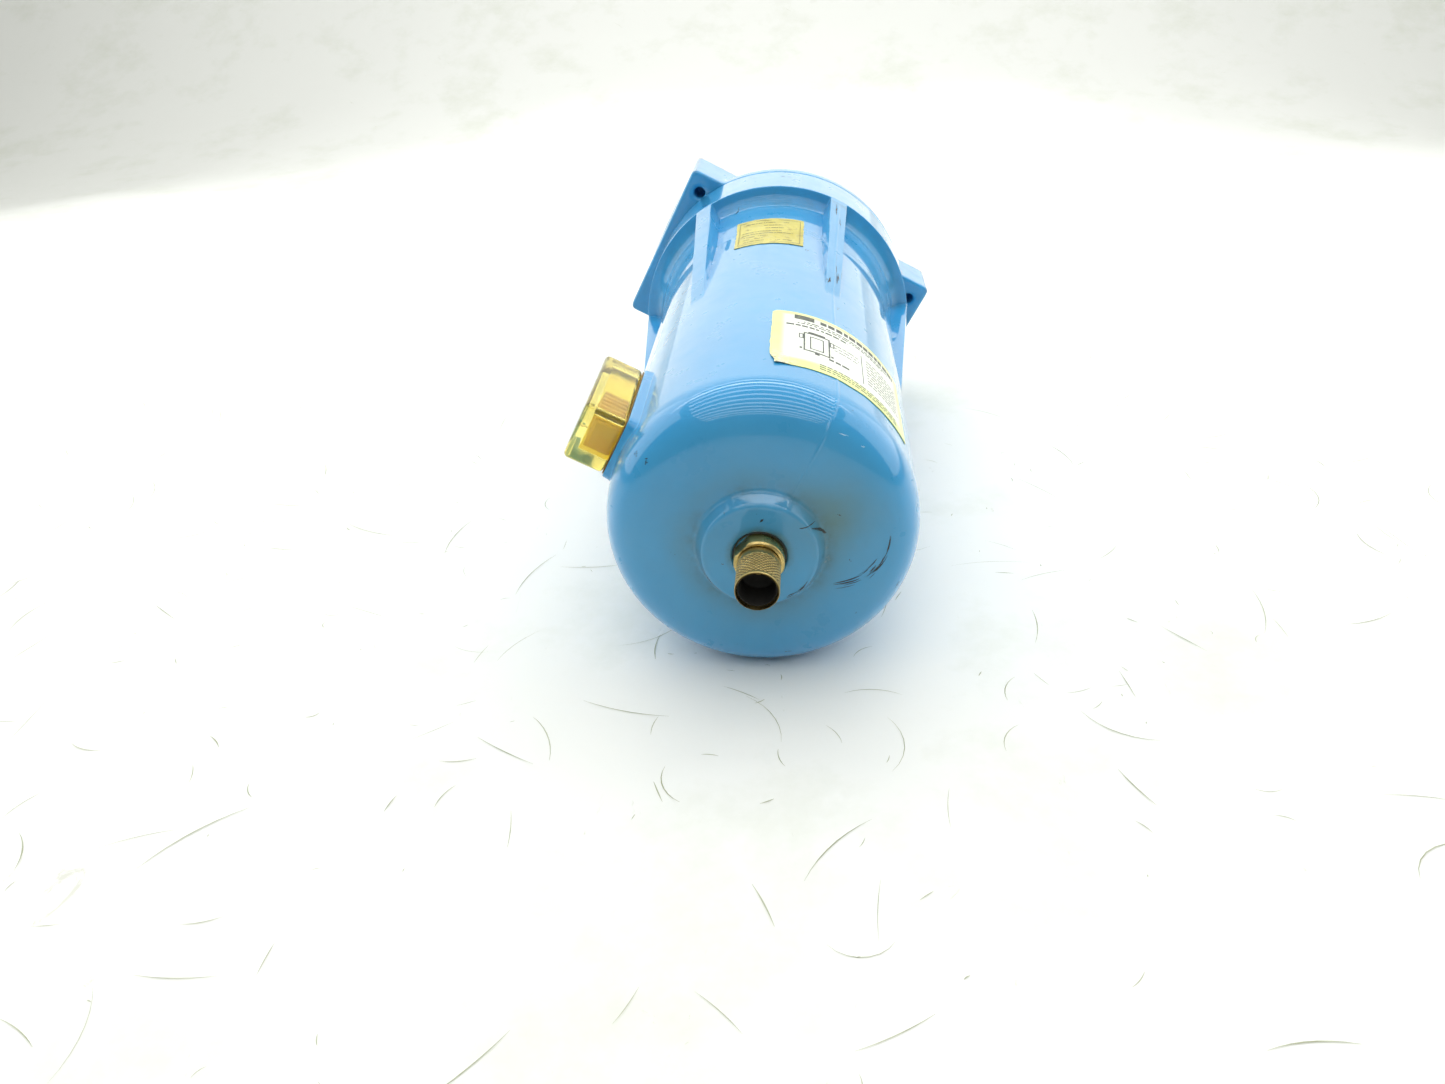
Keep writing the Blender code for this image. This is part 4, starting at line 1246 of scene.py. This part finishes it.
def build_stage():
    """A pale bench top that sweeps up behind."""
    sweep_start, sweep_radius, reach = 0.9, 0.7, 4.0
    outline = [(-reach, 0.0), (0.0, 0.0)]
    for i in range(13):
        turn = math.pi / 2 * i / 12
        outline.append((sweep_start + sweep_radius * math.sin(turn), sweep_radius * (1 - math.cos(turn))))
    outline.append((sweep_start + sweep_radius, 2.5))
    shape = bmesh.new()
    left, right = [[shape.verts.new((x, y, z)) for y, z in outline] for x in (-reach, reach)]
    for i in range(len(outline) - 1):
        shape.faces.new((left[i], right[i], right[i + 1], left[i + 1]))
    mesh = mesh_of("bench", shape)
    mesh.shade_smooth()
    mesh.materials.append(table_top())
    link("bench", mesh)
    bench_scratches()


def bench_scratches():
    """Hairline scratches and dashes worn into the bench, mostly in front of the filter."""
    rng = random.Random(3)
    shape = bmesh.new()
    for _ in range(900):
        place = Vector((rng.uniform(-0.6, 0.6), min(rng.gauss(-0.15, 0.2), 0.5), 0.0002))
        heading, bend = rng.uniform(0, math.tau), rng.gauss(0, 0.1)
        step = rng.uniform(0.3, 1.0) ** 3 * 5 * MM
        width = rng.uniform(0.08, 0.2) * MM
        rows = []
        for i in range(8):
            half = width * math.sin(math.pi * (i + 0.5) / 8)
            side = Vector((-math.sin(heading), math.cos(heading), 0)) * half
            rows.append((shape.verts.new(place - side), shape.verts.new(place + side)))
            place = place + Vector((math.cos(heading), math.sin(heading), 0)) * step
            heading += bend
        for (first, second), (third, fourth) in zip(rows, rows[1:]):
            shape.faces.new((first, third, fourth, second))
    mesh = mesh_of("bench_scratches", shape)
    mesh.materials.append(moulding("bench_scratch", (0.3, 0.32, 0.18), (0.6, 0.62, 0.48), 0.6))
    return link("bench_scratches", mesh)


def add_light(name, place, aim, size, power):
    light = bpy.data.lights.new(name, "AREA")
    light.shape = "RECTANGLE"
    light.size, light.size_y = size
    light.energy = power
    lamp = link(name, light)
    lamp.location = place
    lamp.rotation_euler = (Vector(aim) - Vector(place)).to_track_quat("-Z", "Y").to_euler()
    lamp.visible_camera = False


def build_lights():
    """Rows of tubes overhead and a pale wall round the back and sides; the room in front is dark."""
    first, pitch, height = -1.3, 0.2, 0.95
    for i in range(11):
        y = first + pitch * i
        add_light(f"tube_{i + 1}", (0, y, height), (0, y, 0), (1.5, 0.07), 1.25)
    reach, step = 1.2, math.radians(30)
    for i in range(-3, 4):
        place = (reach * math.sin(i * step), reach * math.cos(i * step), 0.66)
        size = (2 * reach * math.tan(step / 2), 1.1)
        add_light(f"wall_{i + 4}", place, (0, 0, place[2]), size, 3.4 if abs(i) > 1 else 1.2)
    add_light("backdrop_wash", (0, 0.9, 1.5), (0, 1.8, 0.3), (3.5, 0.4), 14)
    world = bpy.data.worlds.new("studio")
    world.use_nodes = True
    world.node_tree.nodes["Background"].inputs["Color"].default_value = (1.0, 1.0, 0.9, 1)
    world.node_tree.nodes["Background"].inputs["Strength"].default_value = 0.2
    bpy.context.scene.world = world


def build_camera():
    camera = bpy.data.cameras.new("camera")
    camera.lens = CAMERA_LENS
    camera.clip_start = 0.01
    holder = link("camera", camera)
    holder.location = CAMERA_PLACE
    holder.rotation_euler = [math.radians(turn) for turn in CAMERA_TURN]
    bpy.context.scene.camera = holder


# ---------------------------------------------------------------- assembly


def main():
    paint = enamel()
    brass_metal = brass()
    seal_rubber = rubber()
    steel_metal = steel()
    black = moulding("black_moulding_fine", (0.02, 0.02, 0.022), (0.04, 0.04, 0.044), 0.45)
    grey = moulding("grey_moulding_fine", (0.17, 0.18, 0.2), (0.22, 0.23, 0.25), 0.5)
    orange = moulding("orange_moulding_fine", (0.96, 0.66, 0.2), (1.0, 0.78, 0.3), 0.35)
    red = moulding("red_moulding_fine", (0.6, 0.04, 0.03), (0.75, 0.06, 0.04), 0.4)
    green = moulding("green_print", (0.05, 0.35, 0.1), (0.08, 0.45, 0.14), 0.5)
    white = moulding("white_dial_face", (0.84, 0.84, 0.82), (0.92, 0.92, 0.9), 0.5)
    red_foam = foam()
    dark = grease_and_shadow()
    print_ink = ink()

    build_camera()
    build_bowl(paint)
    build_wear_marks(
        moulding("scuff_black", (0.008, 0.012, 0.014), (0.03, 0.04, 0.035), 0.5),
        moulding("scratched_paint", (0.3, 0.55, 0.75), (0.42, 0.66, 0.82), 0.5),
    )
    build_head(paint)
    build_sight_glass(amber(), orange, moulding("amber_gum", (0.2, 0.1, 0.015), (0.42, 0.24, 0.05), 0.5))
    build_drain(brass_metal, dark, moulding("bore_soot_and_shade", (0.008, 0.008, 0.008), (0.03, 0.03, 0.028), 0.6))
    build_rating_label(label_film(), print_ink)
    build_nameplate(foil(), ink("stamped_ink", (0.09, 0.07, 0.02)))
    build_pleats(media())
    build_dial_marks(print_ink, green, red)
    dress_nodes((
        (brass_metal, ["drain_body"]),
        (seal_rubber, [
            "bowl_seal", "sight_glass_gasket", "drain_gasket", "drain_stem_seal", "spigot_seal_lower",
            "spigot_seal_upper", "gauge_gasket", "gauge_tap_seal",
        ]),
        (steel_metal, [
            "drain_lever", "drain_lever_pin", "element_inner_core", "element_outer_core", "gauge_bezel",
            "gauge_spring", "gauge_screw_1", "gauge_screw_2", "gauge_screw_3", "gauge_screw_4",
        ]),
        (black, ["drain_valve", "gauge_body", "gauge_piston"]),
        (grey, ["element_top_cap", "element_bottom_cap"]),
        (red_foam, ["element_foam_sleeve", "drain_float"]),
        (white, ["gauge_dial"]),
        (red, ["gauge_pointer"]),
        (clear_plastic(), ["gauge_lens"]),
    ))
    build_stage()
    build_lights()
    bpy.context.scene.view_settings.view_transform = "Standard"


main()
